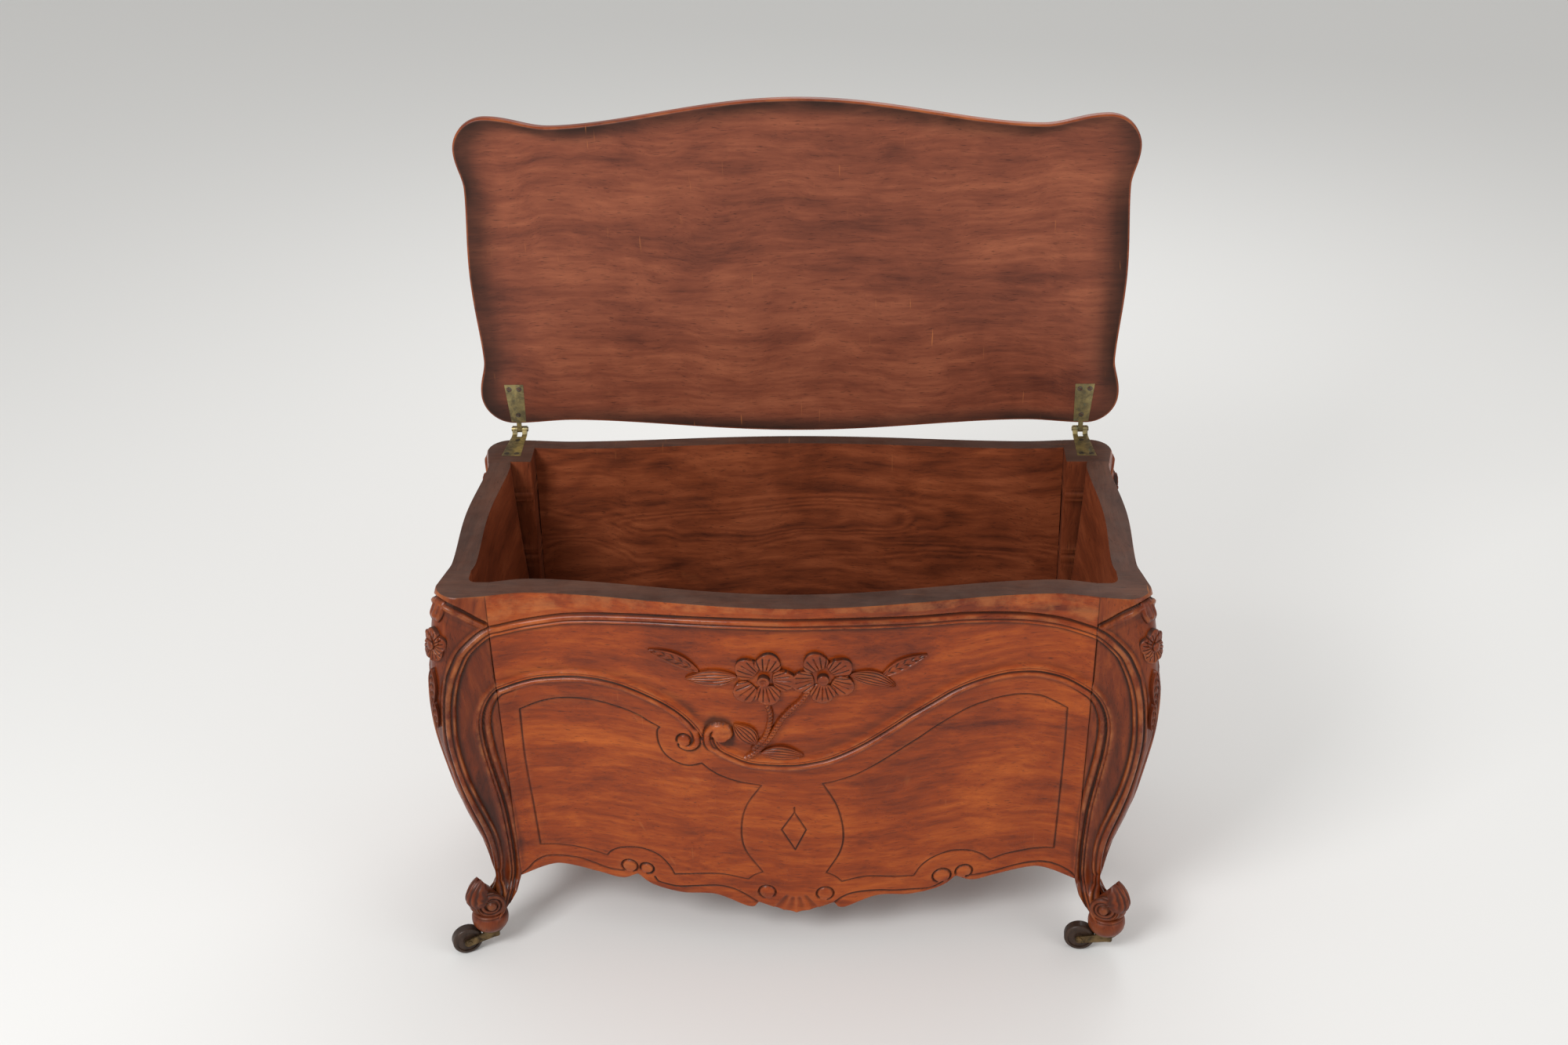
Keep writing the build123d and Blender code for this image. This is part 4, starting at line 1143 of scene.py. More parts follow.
    def add_pad(self, maker: MeshMaker) -> None:
        """The turned pad with a bead at its shoulder."""
        turns = np.linspace(0, 2 * math.pi, 48, endpoint=False)
        r, z = np.array(PAD_SECTION).T[..., None]
        x = self.foot[0] + r * np.cos(turns)
        y = self.foot[1] + r * np.sin(turns)
        grime_and_shade, wear = (np.broadcast_to(profile(z, table), x.shape) for table in (PAD_DIRT_AND_SHADE, PAD_WEAR))
        maker.add_grid(self.put(x, y, z + np.zeros_like(x)), grime_and_shade, wear, flip=self.turned, closed=True)

    def add_scroll(self, maker: MeshMaker) -> None:
        """The whorl that the shaft rolls up into: one snail's face looks forwards and one sideways."""
        turns = np.linspace(0, 2 * math.pi, 72, endpoint=False)
        shares = [k / 22 for k in range(23)]
        stations = [(share, 1.0, 1) for share in shares]
        stations += [(1.0, t, 0) for t in np.linspace(0.96, 0.04, 17)]
        stations += [(share, 0.0, -1) for share in shares[::-1]]
        radial, t, face = (np.array(column, float)[:, None] for column in zip(*stations))
        radius = radial * self.scroll_radius + 0.0 * turns
        turn = np.where(face > 0, turns, math.pi - turns) / (2 * math.pi)
        past_start = radius - self.whorl_start
        phase = past_start / self.whorl_pitch + turn
        groove = ((1 + np.cos(2 * math.pi * phase)) / 2) ** 3 * np.clip(past_start / 1.5, 0, 1)
        eye = 3.4 * np.sqrt(np.clip(1 - (radius / self.whorl_eye) ** 2, 0, 1))
        pit = np.exp(-(((radius - self.whorl_pit) / 1.3) ** 2))
        step_back = 0.14 * np.clip(radius - self.whorl_eye, 0, None)
        bevel = 1.6 * np.clip((radial - 0.93) / 0.07, 0, 1) ** 2
        shift = np.where(face == 0, 0.0, 2.0 + eye - 2.4 * groove - 1.7 * pit - step_back - bevel)
        flute = 1.6 * np.exp(-(((np.abs(t - 0.5) - 0.31) / 0.06) ** 2)) * (face == 0)
        swell = 1.0 * np.sin(math.pi * t) * (face == 0)
        reach = radius - flute + swell
        # the flutes, the groove and the pit are painted dark: dirt and painted shade
        grime_and_shade = np.clip(np.where(face == 0, 0.30 + 0.5 * flute, 0.35 + 0.9 * groove + 0.8 * pit), 0, 1)
        wear = np.clip(np.where(face == 0, 0.2, 0.25 - groove + 0.1 * eye), 0, 1)
        # its middle line bends round the corner from the side face to the front face
        near, bend, far = (np.array(place) for place in self.scroll_line)
        middle = (1 - t) ** 2 * near + 2 * t * (1 - t) * bend + t**2 * far
        lean = np.radians(18 + 54 * t)
        along_x, along_y = -np.sin(lean), np.cos(lean)
        outward = reach * np.cos(turns)[None, :]
        length = -np.sign(face) * shift
        x = self.foot[0] + middle[:, :1] + np.cos(lean) * outward + along_x * length
        y = self.foot[1] + middle[:, 1:] + np.sin(lean) * outward + along_y * length
        z = self.scroll_height + reach * np.sin(turns)[None, :]
        maker.add_grid(self.put(x, y, z), grime_and_shade, wear, flip=self.turned, closed=True)

    def add_foot_leaves(self, maker: MeshMaker) -> None:
        """Two ribbed leaves that clasp the back of the scroll."""
        spine = curve_through(FOOT_LEAF_SPINE, 1.5)
        out = -left_of(spine)
        a = np.linspace(0, 1, len(spine))[:, None]
        b = np.linspace(-1, 1, 25)[None, :]
        root = math.sqrt(0.5)
        for side in (-1.0, 1.0):
            lobes = 1 + 0.10 * np.cos(a * math.pi * 7)
            half = 10.5 * np.sin(math.pi * (0.16 + 0.78 * a)) ** 0.7 * lobes + 0.8
            across = side * 8.5 * (1 - 0.35 * a) + b * half
            ribs = 0.75 * np.cos(b * math.pi * 3.5) * np.sin(math.pi * np.clip(a * 1.05, 0, 1))
            lift = 1.2 * (1 - b**2) + ribs - 4.2 * np.clip(np.abs(b) - 0.84, 0, 1) / 0.16
            lift = lift - 0.045 * across**2
            d = spine[:, None, 0] + out[:, None, 0] * lift
            z = spine[:, None, 1] + out[:, None, 1] * lift
            x = self.foot[0] + root * d + root * across
            y = self.foot[1] + root * d - root * across
            # the hollows between the ribs are painted dark: dirt and painted shade
            grime_and_shade = np.clip(0.5 - 0.8 * ribs, 0, 1)
            maker.add_grid(self.put(x, y, z), grime_and_shade, np.clip(0.6 * ribs, 0, 1), flip=self.turned)

    # the shoulder
    def place(self, w: Array, drop: Array, out: Array) -> Array:
        """Points that stand out from the skin: distance from the corner's middle, drop and height."""
        w, drop, out = np.broadcast_arrays(w, drop, out)
        s = LegSkin(self.back).section((PLAN.rim + drop).ravel())
        s = {k: v.reshape(w.shape) for k, v in s.items()}
        reach = s["radius"] * math.pi / 4
        angle = np.clip(w / s["radius"], -math.pi / 4, math.pi / 4) + math.pi / 4
        over = np.where(w > reach, w - reach, 0.0)
        under = np.where(w < -reach, -reach - w, 0.0)
        nx, ny = np.sin(angle), np.cos(angle)
        x = s["corner_x"] - s["radius"] + s["radius"] * nx - under + out * nx
        y = s["corner_y"] - s["radius"] + s["radius"] * ny - over + out * ny
        return self.put(x, y, PLAN.rim + drop)

    def add_shoulder(self, maker: MeshMaker) -> None:
        """Curled ear, five-petalled flower and hanging buds on the corner."""
        carver = Carver(maker, self.place, flip=self.turned)
        carver.curl(0.0, -18.0, 12.5, 12.0, 6.8)
        carver.flower(0.0, -62.5, five_petals(9.6, 0.31), 12.0, -2.2, 4.2, cuts=20.0)
        carver.leaf((0.0, -95.0), (1.5, -148.0), 7.0, 3.4, level=-1.5, veins=5)
        carver.leaf((-1.0, -143.0), (0.5, -184.0), 5.2, 3.0, level=-1.0, veins=4)


# ---------------- applied carving
def five_petals(petal_at: float, turn: float) -> list[tuple[float, float]]:
    """Centres of five even petals, measured from the flower's."""
    angles = [turn + k * 2 * math.pi / 5 for k in range(5)]
    return [(petal_at * math.cos(angle), petal_at * math.sin(angle)) for angle in angles]


@dataclass
class Carver:
    """Carves petals, leaves, stems and curls as patches standing on a face."""

    maker: MeshMaker
    place: Place
    flip: bool = False
    sink: float = -7.0

    def patch(
        self, u: Array, drop: Array, out: Array, grime_and_shade: Array, wear: Array, axis: int, closed: bool = False
    ) -> None:
        """Adds a patch with walls that run down into the ground.

        Args:
            u: positions along the face.
            drop: heights from the rim.
            out: how far each point stands out.
            grime_and_shade: dirt and painted shade over the patch.
            wear: wear over the patch.
            axis: 0 or 1, the rows or the columns that are read backwards so that its faces look outwards.
            closed: whether its last column joins its first.
        """
        u, drop, out, grime_and_shade, wear = (np.flip(values, axis) for values in (u, drop, out, grime_and_shade, wear))
        self.maker.add_grid(self.place(u, drop, out), grime_and_shade, wear, flip=self.flip, closed=closed)

    def sunk(self, u: Array, drop: Array, out: Array, depth: float, axis: int) -> None:
        """Adds a patch whose outermost points all lie deep in the ground.

        Args:
            u: positions along the face.
            drop: heights from the rim.
            out: how far each point stands out.
            depth: the depth at which the dirt and painted shade are full.
            axis: 0 or 1, the rows or the columns that are read backwards.
        """
        out[[0, -1]] = self.sink
        out[:, [0, -1]] = self.sink
        grime_and_shade, wear = masks(out[1:-1, 1:-1], 2, depth)
        # the patch's border, sunk in the ground at its foot, is painted fully dark as shade
        grime_and_shade = np.pad(grime_and_shade, 1, constant_values=1.0)
        wear = np.pad(wear, 1, constant_values=0.0)
        self.patch(u, drop, out, grime_and_shade, wear, axis)

    def disc(
        self, u: float, drop: float, reach: Array, height: Callable[[Array, Array], Array], rings: int = 12
    ) -> None:
        """A round or lobed patch.

        Args:
            u: its centre along the face.
            drop: its centre's height.
            reach: its radius at each of its angles.
            height: height for a position along the face and a drop.
            rings: how many rings of faces.
        """
        count = len(reach)
        turns = np.linspace(0, 2 * math.pi, count, endpoint=False)
        share = np.concatenate([np.linspace(0.0, 1.0, rings), [1.0]])[:, None] + 0.0 * turns
        here_u = u + share * reach * np.cos(turns)
        here_z = drop + share * reach * np.sin(turns)
        out = height(here_u, here_z)
        out = out - np.clip((share - 0.86) / 0.14, 0, 1) ** 2 * 0.9
        out[-1] = self.sink
        grime_and_shade, wear = masks(out[:-1], 2, 0.5)
        # the outer ring, sunk in the ground at the patch's foot, is painted fully dark as shade, and the ring inside
        # it a little
        grime_and_shade = np.vstack([grime_and_shade, np.ones((1, count))])
        wear = np.vstack([wear, np.zeros((1, count))])
        grime_and_shade[-2] = np.maximum(grime_and_shade[-2], 0.15)
        self.patch(here_u, here_z, out, grime_and_shade, wear, 0, closed=True)

    def flower(
        self, u: float, drop: float, petals: Sequence[tuple[float, float]], petal: float, level: float, lift: float,
        cuts: float = 26.0, ringed: bool = False,
    ) -> None:
        """Cupped petals, cut with fine rays, round a button.

        Args:
            u: centre along the face.
            drop: centre's height.
            petals: each petal's centre, measured from the flower's.
            petal: a petal's radius.
            level: the ground's height.
            lift: how far the petals' rims stand above the ground.
            cuts: how close the rays lie; larger is closer.
            ringed: whether the button is a ring with a pit.
        """
        for across, up in petals:
            angle, petal_at = math.atan2(up, across), math.hypot(across, up)
            turns = np.linspace(0, 2 * math.pi, 112, endpoint=False) - angle
            reach = petal * (1 + 0.05 * np.cos(3 * turns) - 0.13 * np.exp(-(((np.cos(turns) + 1) / 0.5) ** 2)))

            def height(pu: Array, pz: Array, angle: float = angle, full: float = petal_at + petal) -> Array:
                """The petal: cupped, cut with rays, turned down at its tip and lapped over the next."""
                far = np.hypot(pu - u, pz - drop) / full
                side = np.angle(np.exp(1j * (np.arctan2(pz - drop, pu - u) - angle)))
                cup = lift * (0.22 + 0.95 * smooth_step(far * 1.12))
                shown = np.clip((far - 0.28) * 6, 0, 1) * np.clip((0.93 - far) * 9, 0, 1)
                rays = -1.5 * ((1 + np.cos(side * cuts)) / 2) ** 4 * shown
                tip = -1.0 * np.clip(far - 0.88, 0, 1) / 0.12
                return level + cup + rays + tip + 1.5 * side

            self.disc(u + across, drop + up, reach, height, rings=24)
        button = 0.47 * petal

        def boss(pu: Array, pz: Array) -> Array:
            """The button: a dome, or a ring with a pit."""
            rest = np.hypot(pu - u, pz - drop) / button
            dome = 1.9 * np.sqrt(np.clip(1.02 - rest**2, 0, 1))
            ring = 1.5 - 2.6 * np.clip(1 - rest / 0.62, 0, 1) ** 0.6
            return level + 1.1 * lift + (ring if ringed else dome)

        self.disc(u, drop, np.full(44, button), boss, rings=12)

    def leaf(
        self, start: tuple[float, float], tip: tuple[float, float], half: float, lift: float,
        level: float, veins: int = 6, bend: float = 0.0, ribs: float = 0.0,
    ) -> None:
        """A pointed leaf: sunk and hatched inside its rim, or ribbed along its length.

        Args:
            start: its root.
            tip: its point.
            half: half its width.
            lift: how far it stands above the ground.
            level: the ground's height.
            veins: how many veins on each side.
            bend: sideways bow of its midrib, in millimetres.
            ribs: how many ribs run along each half; none leaves the leaf hatched.
        """
        root, end = np.array(start, float), np.array(tip, float)
        run = end - root
        side = np.array([-run[1], run[0]]) / np.linalg.norm(run)
        a = np.linspace(0, 1, 60)[:, None]
        b = np.concatenate([[-1.0], np.linspace(-1, 1, 33), [1.0]])[None, :]
        width = half * np.sin(math.pi * a**0.9) ** 0.85 + 0.25
        middle = root + run * a + side * bend * np.sin(math.pi * a)
        u = middle[:, :1] + side[0] * width * b
        z = middle[:, 1:] + side[1] * width * b
        away = np.abs(b)
        out = level + lift * (0.72 + 0.28 * np.sin(math.pi * a)) * (1 - 0.22 * away**3)
        if ribs:
            cuts = ((1 + np.cos(2 * math.pi * ribs * (b + 0.12 * a))) / 2) ** 3
            out = out - 1.5 * cuts * np.clip((1 - away) * 6, 0, 1) * np.clip(a * 5, 0, 1)
        else:
            sunk = smooth_step((0.78 - away) / 0.2) * smooth_step(np.sin(math.pi * a) * 2.2)
            strokes = ((1 + np.cos(2 * math.pi * (veins * a - 0.9 * away))) / 2) ** 3
            out = out - sunk * (1.3 + 0.9 * strokes - 0.9 * np.exp(-((away / 0.12) ** 2)))
        self.sunk(u, z, out, 0.5, 1)

    def stem(self, points: Points, radius: float, lift: float, level: float) -> None:
        """A ringed twig, half sunk in the ground."""
        path = curve_through(points, 1.1)
        side = left_of(path)
        length = np.concatenate([[0], np.cumsum(np.linalg.norm(np.diff(path, axis=0), axis=1))])[:, None]
        b = np.linspace(-1, 1, 15)[None, :]
        knobs = np.sin(length * 1.15 + 2.2 * np.round(b * 2.2)) * (1 - np.abs(b))
        rings = 1 + 0.10 * np.abs(np.sin(length * 0.62)) ** 0.6 + 0.22 * knobs
        across = radius * rings * np.sin(b * math.pi / 2)
        out = level + (lift + radius * rings) * np.cos(b * math.pi / 2)
        out = out + np.where(np.abs(b) > 0.99, self.sink - level, 0)
        u = path[:, :1] + side[:, :1] * across
        z = path[:, 1:] + side[:, 1:] * across
        # the grooves between the rings and the edges at the ground are painted dark: dirt and painted shade
        grime_and_shade = np.clip(1.02 - rings, 0, 0.16) / 0.16 * 0.8 + 0.6 * np.abs(b) ** 3
        wear = np.clip((rings - 1.12) * 8, 0, 1) * (1 - np.abs(b))
        self.patch(u, z, out, np.broadcast_to(grime_and_shade, out.shape), wear, 1)

    def curl(self, u: float, drop: float, half: float, tall: float, lift: float) -> None:
        """A rolled leaf tip: a ribbed bulge that overhangs its lower edge."""
        a = np.linspace(0, 1, 30)[:, None]
        b = np.concatenate([[-1.0], np.linspace(-1, 1, 29), [1.0]])[None, :]
        width = half * np.sin(math.pi * (0.18 + 0.72 * a)) ** 0.6
        here_u = u + b * width
        here_z = drop + tall * (1 - 2 * a) - 3.0 * (b**2) * a
        bulge = np.sin(math.pi * np.clip(a * 0.93 + 0.04, 0, 1)) ** 0.8
        roll = 1 + 0.55 * smooth_step((a - 0.45) / 0.35)
        ribs = 0.6 * np.cos(b * math.pi * 3) * np.sin(math.pi * a)
        out = -1.5 + lift * bulge * roll * np.sqrt(np.clip(1.02 - b**2, 0, 1)) * 0.62 + ribs
        self.sunk(here_u, here_z, out, 0.7, 0)


# each leaf's root, point, half width, lift, bow of its midrib and ribs on each half (none: hatched)
SPRIG_LEAVES = (
    ((-112.5, -101), (-175, -74.5), 8.8, 4.2, -3.5, 0.0),
    ((-66, -104), (-131, -113), 12.0, 4.8, 1.0, 2.5),
    ((70, -101), (127, -124.5), 10.5, 4.6, 4.0, 2.5),
    ((108, -108), (164.5, -79.5), 8.4, 4.2, 3.0, 0.0),
    ((-45, -211), (-73, -180), 12.5, 4.8, -1.0, 2.5),
    ((-41, -226), (13.5, -228.5), 11.0, 5.0, 2.5, 2.5),
)
# each twig's line, radius and lift
SPRIG_TWIGS = (
    (((-32, -140), (-29, -152), (-27, -163), (-28.8, -180), (-34, -198), (-41, -209), (-50, -220)), 3.7, 1.4),
    (((21, -122), (11, -140), (-1.3, -153), (-12.5, -168), (-20, -182.5), (-27.5, -197.5), (-37.5, -212.5),
      (-50, -227), (-61, -235)), 3.9, 1.9),
)
# each flower's centre, its petals' centres from there, their radius, and whether its button is ringed
SPRIG_FLOWERS = (
    ((-34, -108), ((-18.5, 16.3), (5.9, 24.9), (23.3, 0.8), (4.6, -21.4), (-22, -17.9)), 15.8, True),
    ((38, -106), ((-8.7, 24.4), (19.9, 15.6), (22.2, -10.7), (-0.8, -20.5), (-23.5, -2.8)), 15.5, False),
)


@dataclass
class Sprig:
    """The flowering branch on the front: six leaves, two twigs and two flowers."""

    level: float = FIELD
    flower_lift: float = 5.4

    def make(self, materials: Materials) -> Piece:
        """Builds the whole branch as one carved piece."""
        maker = MeshMaker("front_sprig")
        carver = Carver(maker, Wall.FRONT.place)
        for start, tip, half, lift, bend, ribs in SPRIG_LEAVES:
            carver.leaf(start, tip, half, lift, self.level, bend=bend, ribs=ribs)
        for line, radius, lift in SPRIG_TWIGS:
            carver.stem(line, radius, lift, self.level)
        for (u, drop), petals, petal, ringed in SPRIG_FLOWERS:
            carver.flower(u, drop, petals, petal, self.level, self.flower_lift, ringed=ringed)
        piece = maker.build(materials)
        return settle(piece, "carcass", "carcass_wood")


@dataclass
class SideFlower:
    """A single flower between two leaves on a side wall."""

    wall: Wall

    def make(self, materials: Materials) -> Piece:
        """Builds the flower and its leaves."""
        maker = MeshMaker(f"{self.wall.name.lower()}_side_flower")
        carver = Carver(maker, self.wall.place)
        middle = self.wall.middle
        for way in (-1, 1):
            carver.leaf((middle + 24 * way, -93), (middle + 84 * way, -84), 8.5, 4.0, FIELD, 6, bend=-3.0 * way)
            carver.leaf((middle + 18 * way, -102), (middle + 60 * way, -112), 7.5, 3.8, FIELD, 5, bend=3.0 * way)
        carver.flower(middle, -92, five_petals(21.0, 1.57), 14.5, FIELD, 5.0)
        return settle(maker.build(materials), "carcass", "carcass_wood")


# ---------------- lid
# the moulded edge from the underside to the top: inset from the widest line, and height
LID_EDGE = (
    (5.0, 0.0), (3.2, 0.0), (1.9, 0.3), (1.0, 0.9), (0.3, 2.0), (0.0, 3.6), (0.0, 7.0), (0.0, 10.5), (0.3, 12.0),
    (1.1, 13.7), (1.5, 14.2), (2.6, 14.6), (3.1, 15.4), (3.9, 16.8), (5.2, 18.3), (6.9, 19.4), (9.0, 20.0),
    (11.5, 20.0),
)


@dataclass
class Lid:
    """The lid board: moulded edge, plain worn underside, standing open."""

    overhang: float = 12.0
    thickness: float = 20.0
    underside: float = -4.5
    lean: float = 2.9
    pivot_y: float = 202.0
    pivot_z: float = 567.0
    centre_y: float = -221.0
    relax: float = 0.25

    def rim_outline(self) -> Array:
        """Outer edge of the carcass at the rim, anticlockwise, at close steps."""
        lobe = PLAN.lobe
        front_x, rear_x = PLAN.front_half - lobe, PLAN.rear_half - lobe
        front_y, rear_y = PLAN.front_y + lobe, PLAN.rear_y - lobe
        to_front, to_rear = np.linspace(0, front_x, 150), np.linspace(rear_x, 0, 150)
        along = np.linspace(front_y, rear_y, 130)
        turn = np.linspace(0, math.pi / 2, 22)[1:-1]
        parts = (
            (to_front, PLAN.front(to_front, np.full_like(to_front, PLAN.rim))),
            (front_x + lobe * np.cos(turn - math.pi / 2), front_y + lobe * np.sin(turn - math.pi / 2)),
            (PLAN.side(along, np.full_like(along, PLAN.rim)), along),
            (rear_x + lobe * np.cos(turn), rear_y + lobe * np.sin(turn)),
            (to_rear, PLAN.rear(to_rear, np.full_like(to_rear, PLAN.rim))),
        )
        right = np.vstack([np.stack(part, axis=1) for part in parts])
        left = right[1:-1][::-1] * (-1, 1)
        return np.vstack([right, left])

    def grown(self, outline: Array, amount: Array) -> Array:
        """The outline moved outwards."""
        along = np.roll(outline, -1, axis=0) - np.roll(outline, 1, axis=0)
        out = np.stack([along[:, 1], -along[:, 0]], axis=1)
        out /= np.linalg.norm(out, axis=1, keepdims=True)
        return outline + out * amount

    def stand(self, x: Array, y: Array, up: Array) -> Array:
        """Points of the closed lid, from its pivot, swung to where it stands open."""
        c, s = math.cos(math.radians(self.lean)), math.sin(math.radians(self.lean))
        return np.stack([x + 0.0 * up, self.pivot_y - s * y + c * up, self.pivot_z - c * y - s * up], axis=-1)

    def make(self, materials: Materials) -> Piece:
        """Builds the board."""
        outline = self.rim_outline() - (0, self.pivot_y)
        centre = np.array([0.0, self.centre_y])
        # sections from the middle of the underside over the edge to the middle of the top:
        # share of the way out from the centre, inset from the widest line, height above the underside
        sections = [(share, *LID_EDGE[0]) for share in np.linspace(0.02, 0.97, 26)]
        sections += [(1.0, inset, up) for inset, up in LID_EDGE]
        sections += [(share, *LID_EDGE[-1]) for share in np.linspace(0.97, 0.02, 26)]
        rows = []
        for share, inset, up in sections:
            edge = self.grown(outline, self.overhang - inset)
            flat = centre + (edge - centre) * share
            level = self.underside + self.relax + up * (self.thickness - self.relax) / self.thickness
            rows.append(self.stand(flat[:, 0], flat[:, 1], np.full(len(flat), level)))
        grid = np.stack(rows)
        share = np.array([a for a, _, _ in sections])[:, None]
        up = np.array([c for _, _, c in sections])[:, None]
        under = up < 0.05
        grime_and_shade = np.where(under, smooth_step((share - 0.90) / 0.10) * 0.9, np.where(up < 19.9, 0.25, 0.0))
        wear = np.where((up > 0.2) & (up < 2.5), 0.6, 0.0)
        grime_and_shade = np.broadcast_to(grime_and_shade, grid.shape[:2])
        wear = np.broadcast_to(wear, grid.shape[:2])
        maker = MeshMaker("lid_board")
        split = int(np.argmax(~under.ravel()))
        indices = maker.add_points(grid, grime_and_shade, wear)
        joined = np.hstack([indices, indices[:, :1]])
        maker.add_quads(joined[: split + 1], 0)
        maker.add_quads(joined[split:], 1)
        maker.add_ring(list(indices[0][::-1]), 0)
        maker.add_ring(list(indices[-1]), 1)
        piece = maker.build(materials, sharp=35.0)
        return settle(piece, "lid", "lid_wood", "lid")


# ---------------- shader groups
class Tree:
    """Lays out nodes in a material or a group."""

    def __init__(self, tree: bpy.types.NodeTree) -> None:
        """Takes the tree to write in."""
        self.tree = tree

    def node(self, kind: str, inputs: Optional[dict] = None, **settings: object) -> bpy.types.Node:
        """Adds a node, sets its options, and fills or links its inputs.

        Args:
            kind: Blender's name for the node.
            inputs: value or output socket for each input, by name or number.
            settings: the node's own options.

        Returns:
            The node.
        """
        made = self.tree.nodes.new(kind)
        for name, value in settings.items():
            setattr(made, name, value)
        self.fill(made, inputs or {})
        return made

    def fill(self, node: bpy.types.Node, inputs: dict) -> None:
        """Sets or links a node's inputs, given by name or number."""
        for key, value in inputs.items():
            if isinstance(value, Socket):
                self.tree.links.new(value, node.inputs[key])
            else:
                node.inputs[key].default_value = value

    def math(self, operation: str, a: object, b: object = 0.0, clamp: bool = False) -> Socket:
        """The result of a sum on one or two values."""
        return self.node("ShaderNodeMath", {0: a, 1: b}, operation=operation, use_clamp=clamp).outputs[0]

    def times(self, a: object, b: object, clamp: bool = False) -> Socket:
        """One value times another."""
        return self.math("MULTIPLY", a, b, clamp)

    def plus(self, a: object, b: object, clamp: bool = False) -> Socket:
        """One value and another."""
        return self.math("ADD", a, b, clamp)

    def minus(self, a: object, b: object, clamp: bool = False) -> Socket:
        """One value less another."""
        return self.math("SUBTRACT", a, b, clamp)

    def mix(self, factor: object, a: object, b: object) -> Socket:
        """Two colours mixed."""
        return self.node("ShaderNodeMix", {0: factor, 6: a, 7: b}, data_type="RGBA").outputs[2]

    def noise(self, vector: Socket, scale: float, detail: float = 4.0, rough: float = 0.5,
              distort: float = 0.0) -> Socket:
        """Soft noise, 0 to 1."""
        inputs = {"Vector": vector, "Scale": scale, "Detail": detail, "Roughness": rough, "Distortion": distort}
        return self.node("ShaderNodeTexNoise", inputs).outputs[0]

    def stretch(self, value: Socket, low: float, high: float, out_low: float = 0.0,
                out_high: float = 1.0) -> Socket:
        """A range of values spread over another, held at its ends."""
        inputs = {0: value, 1: low, 2: high, 3: out_low, 4: out_high}
        return self.node("ShaderNodeMapRange", inputs, clamp=True).outputs[0]


def new_group(name: str, inputs: Sequence[tuple[str, str, object]], outputs: Sequence[tuple[str, str]]) -> tuple:
    """An empty shader group with its sockets.

    Args:
        name: the group's name.
        inputs: name, socket type and default of each input.
        outputs: name and socket type of each output.

    Returns:
        The group, its writer, its input node and its output node.
    """
    group = bpy.data.node_groups.new(name, "ShaderNodeTree")
    for label, kind, default in inputs:
        socket = group.interface.new_socket(label, in_out="INPUT", socket_type=kind)
        socket.default_value = default
    for label, kind in outputs:
        group.interface.new_socket(label, in_out="OUTPUT", socket_type=kind)
    tree = Tree(group)
    return group, tree, tree.node("NodeGroupInput"), tree.node("NodeGroupOutput")


def new_material(name: str) -> tuple[Material, Tree]:
    """An empty material and its writer."""
    material = bpy.data.materials.new(name)
    material.use_nodes = True
    material.node_tree.nodes.clear()
    return material, Tree(material.node_tree)


def wood_figure_group() -> bpy.types.NodeTree:
    """Grain: long streaks, pores, broad blotches and the height of both."""
    group, tree, given, result = new_group(
        "wood_figure",
        [("Along", "NodeSocketVector", (1.0, 1.0, 1.0)), ("Cathedral", "NodeSocketFloat", 0.0)],
        [("Streak", "NodeSocketFloat"), ("Pores", "NodeSocketFloat"), ("Blotch", "NodeSocketFloat"),
         ("Height", "NodeSocketFloat")],
    )
    place = tree.node("ShaderNodeTexCoord").outputs["Object"]
    wander = tree.noise(place, 5.0, 3.0)
    wander = tree.times(tree.minus(wander, 0.5), 0.05)
    moved = tree.node("ShaderNodeVectorMath", {0: place, 1: wander}, operation="ADD").outputs[0]
    drawn = tree.node("ShaderNodeVectorMath", {0: moved, 1: given.outputs["Along"]}, operation="MULTIPLY").outputs[0]
    streak = tree.noise(drawn, 3.2, 7.0, 0.62, 0.35)
    fine = tree.noise(drawn, 17.0, 5.0, 0.65, 0.1)
    arch = tree.noise(drawn, 1.1, 2.0, 0.4, 0.9)
    rings = tree.math("SINE", tree.times(arch, 95.0))
    rings = tree.times(rings, given.outputs["Cathedral"])
    figure = tree.plus(tree.times(streak, 0.62), tree.times(fine, 0.38))
    figure = tree.plus(figure, tree.times(rings, 0.05))
    pore_noise = tree.noise(drawn, 75.0, 2.0, 0.5)
    pores = tree.stretch(pore_noise, 0.60, 0.72)
    blotch = tree.noise(place, 7.0, 5.0, 0.58, 0.6)
    height = tree.minus(tree.times(fine, 0.5), tree.times(pores, 0.6))
    tree.fill(result, {"Streak": figure, "Pores": pores, "Blotch": blotch, "Height": height})
    return group


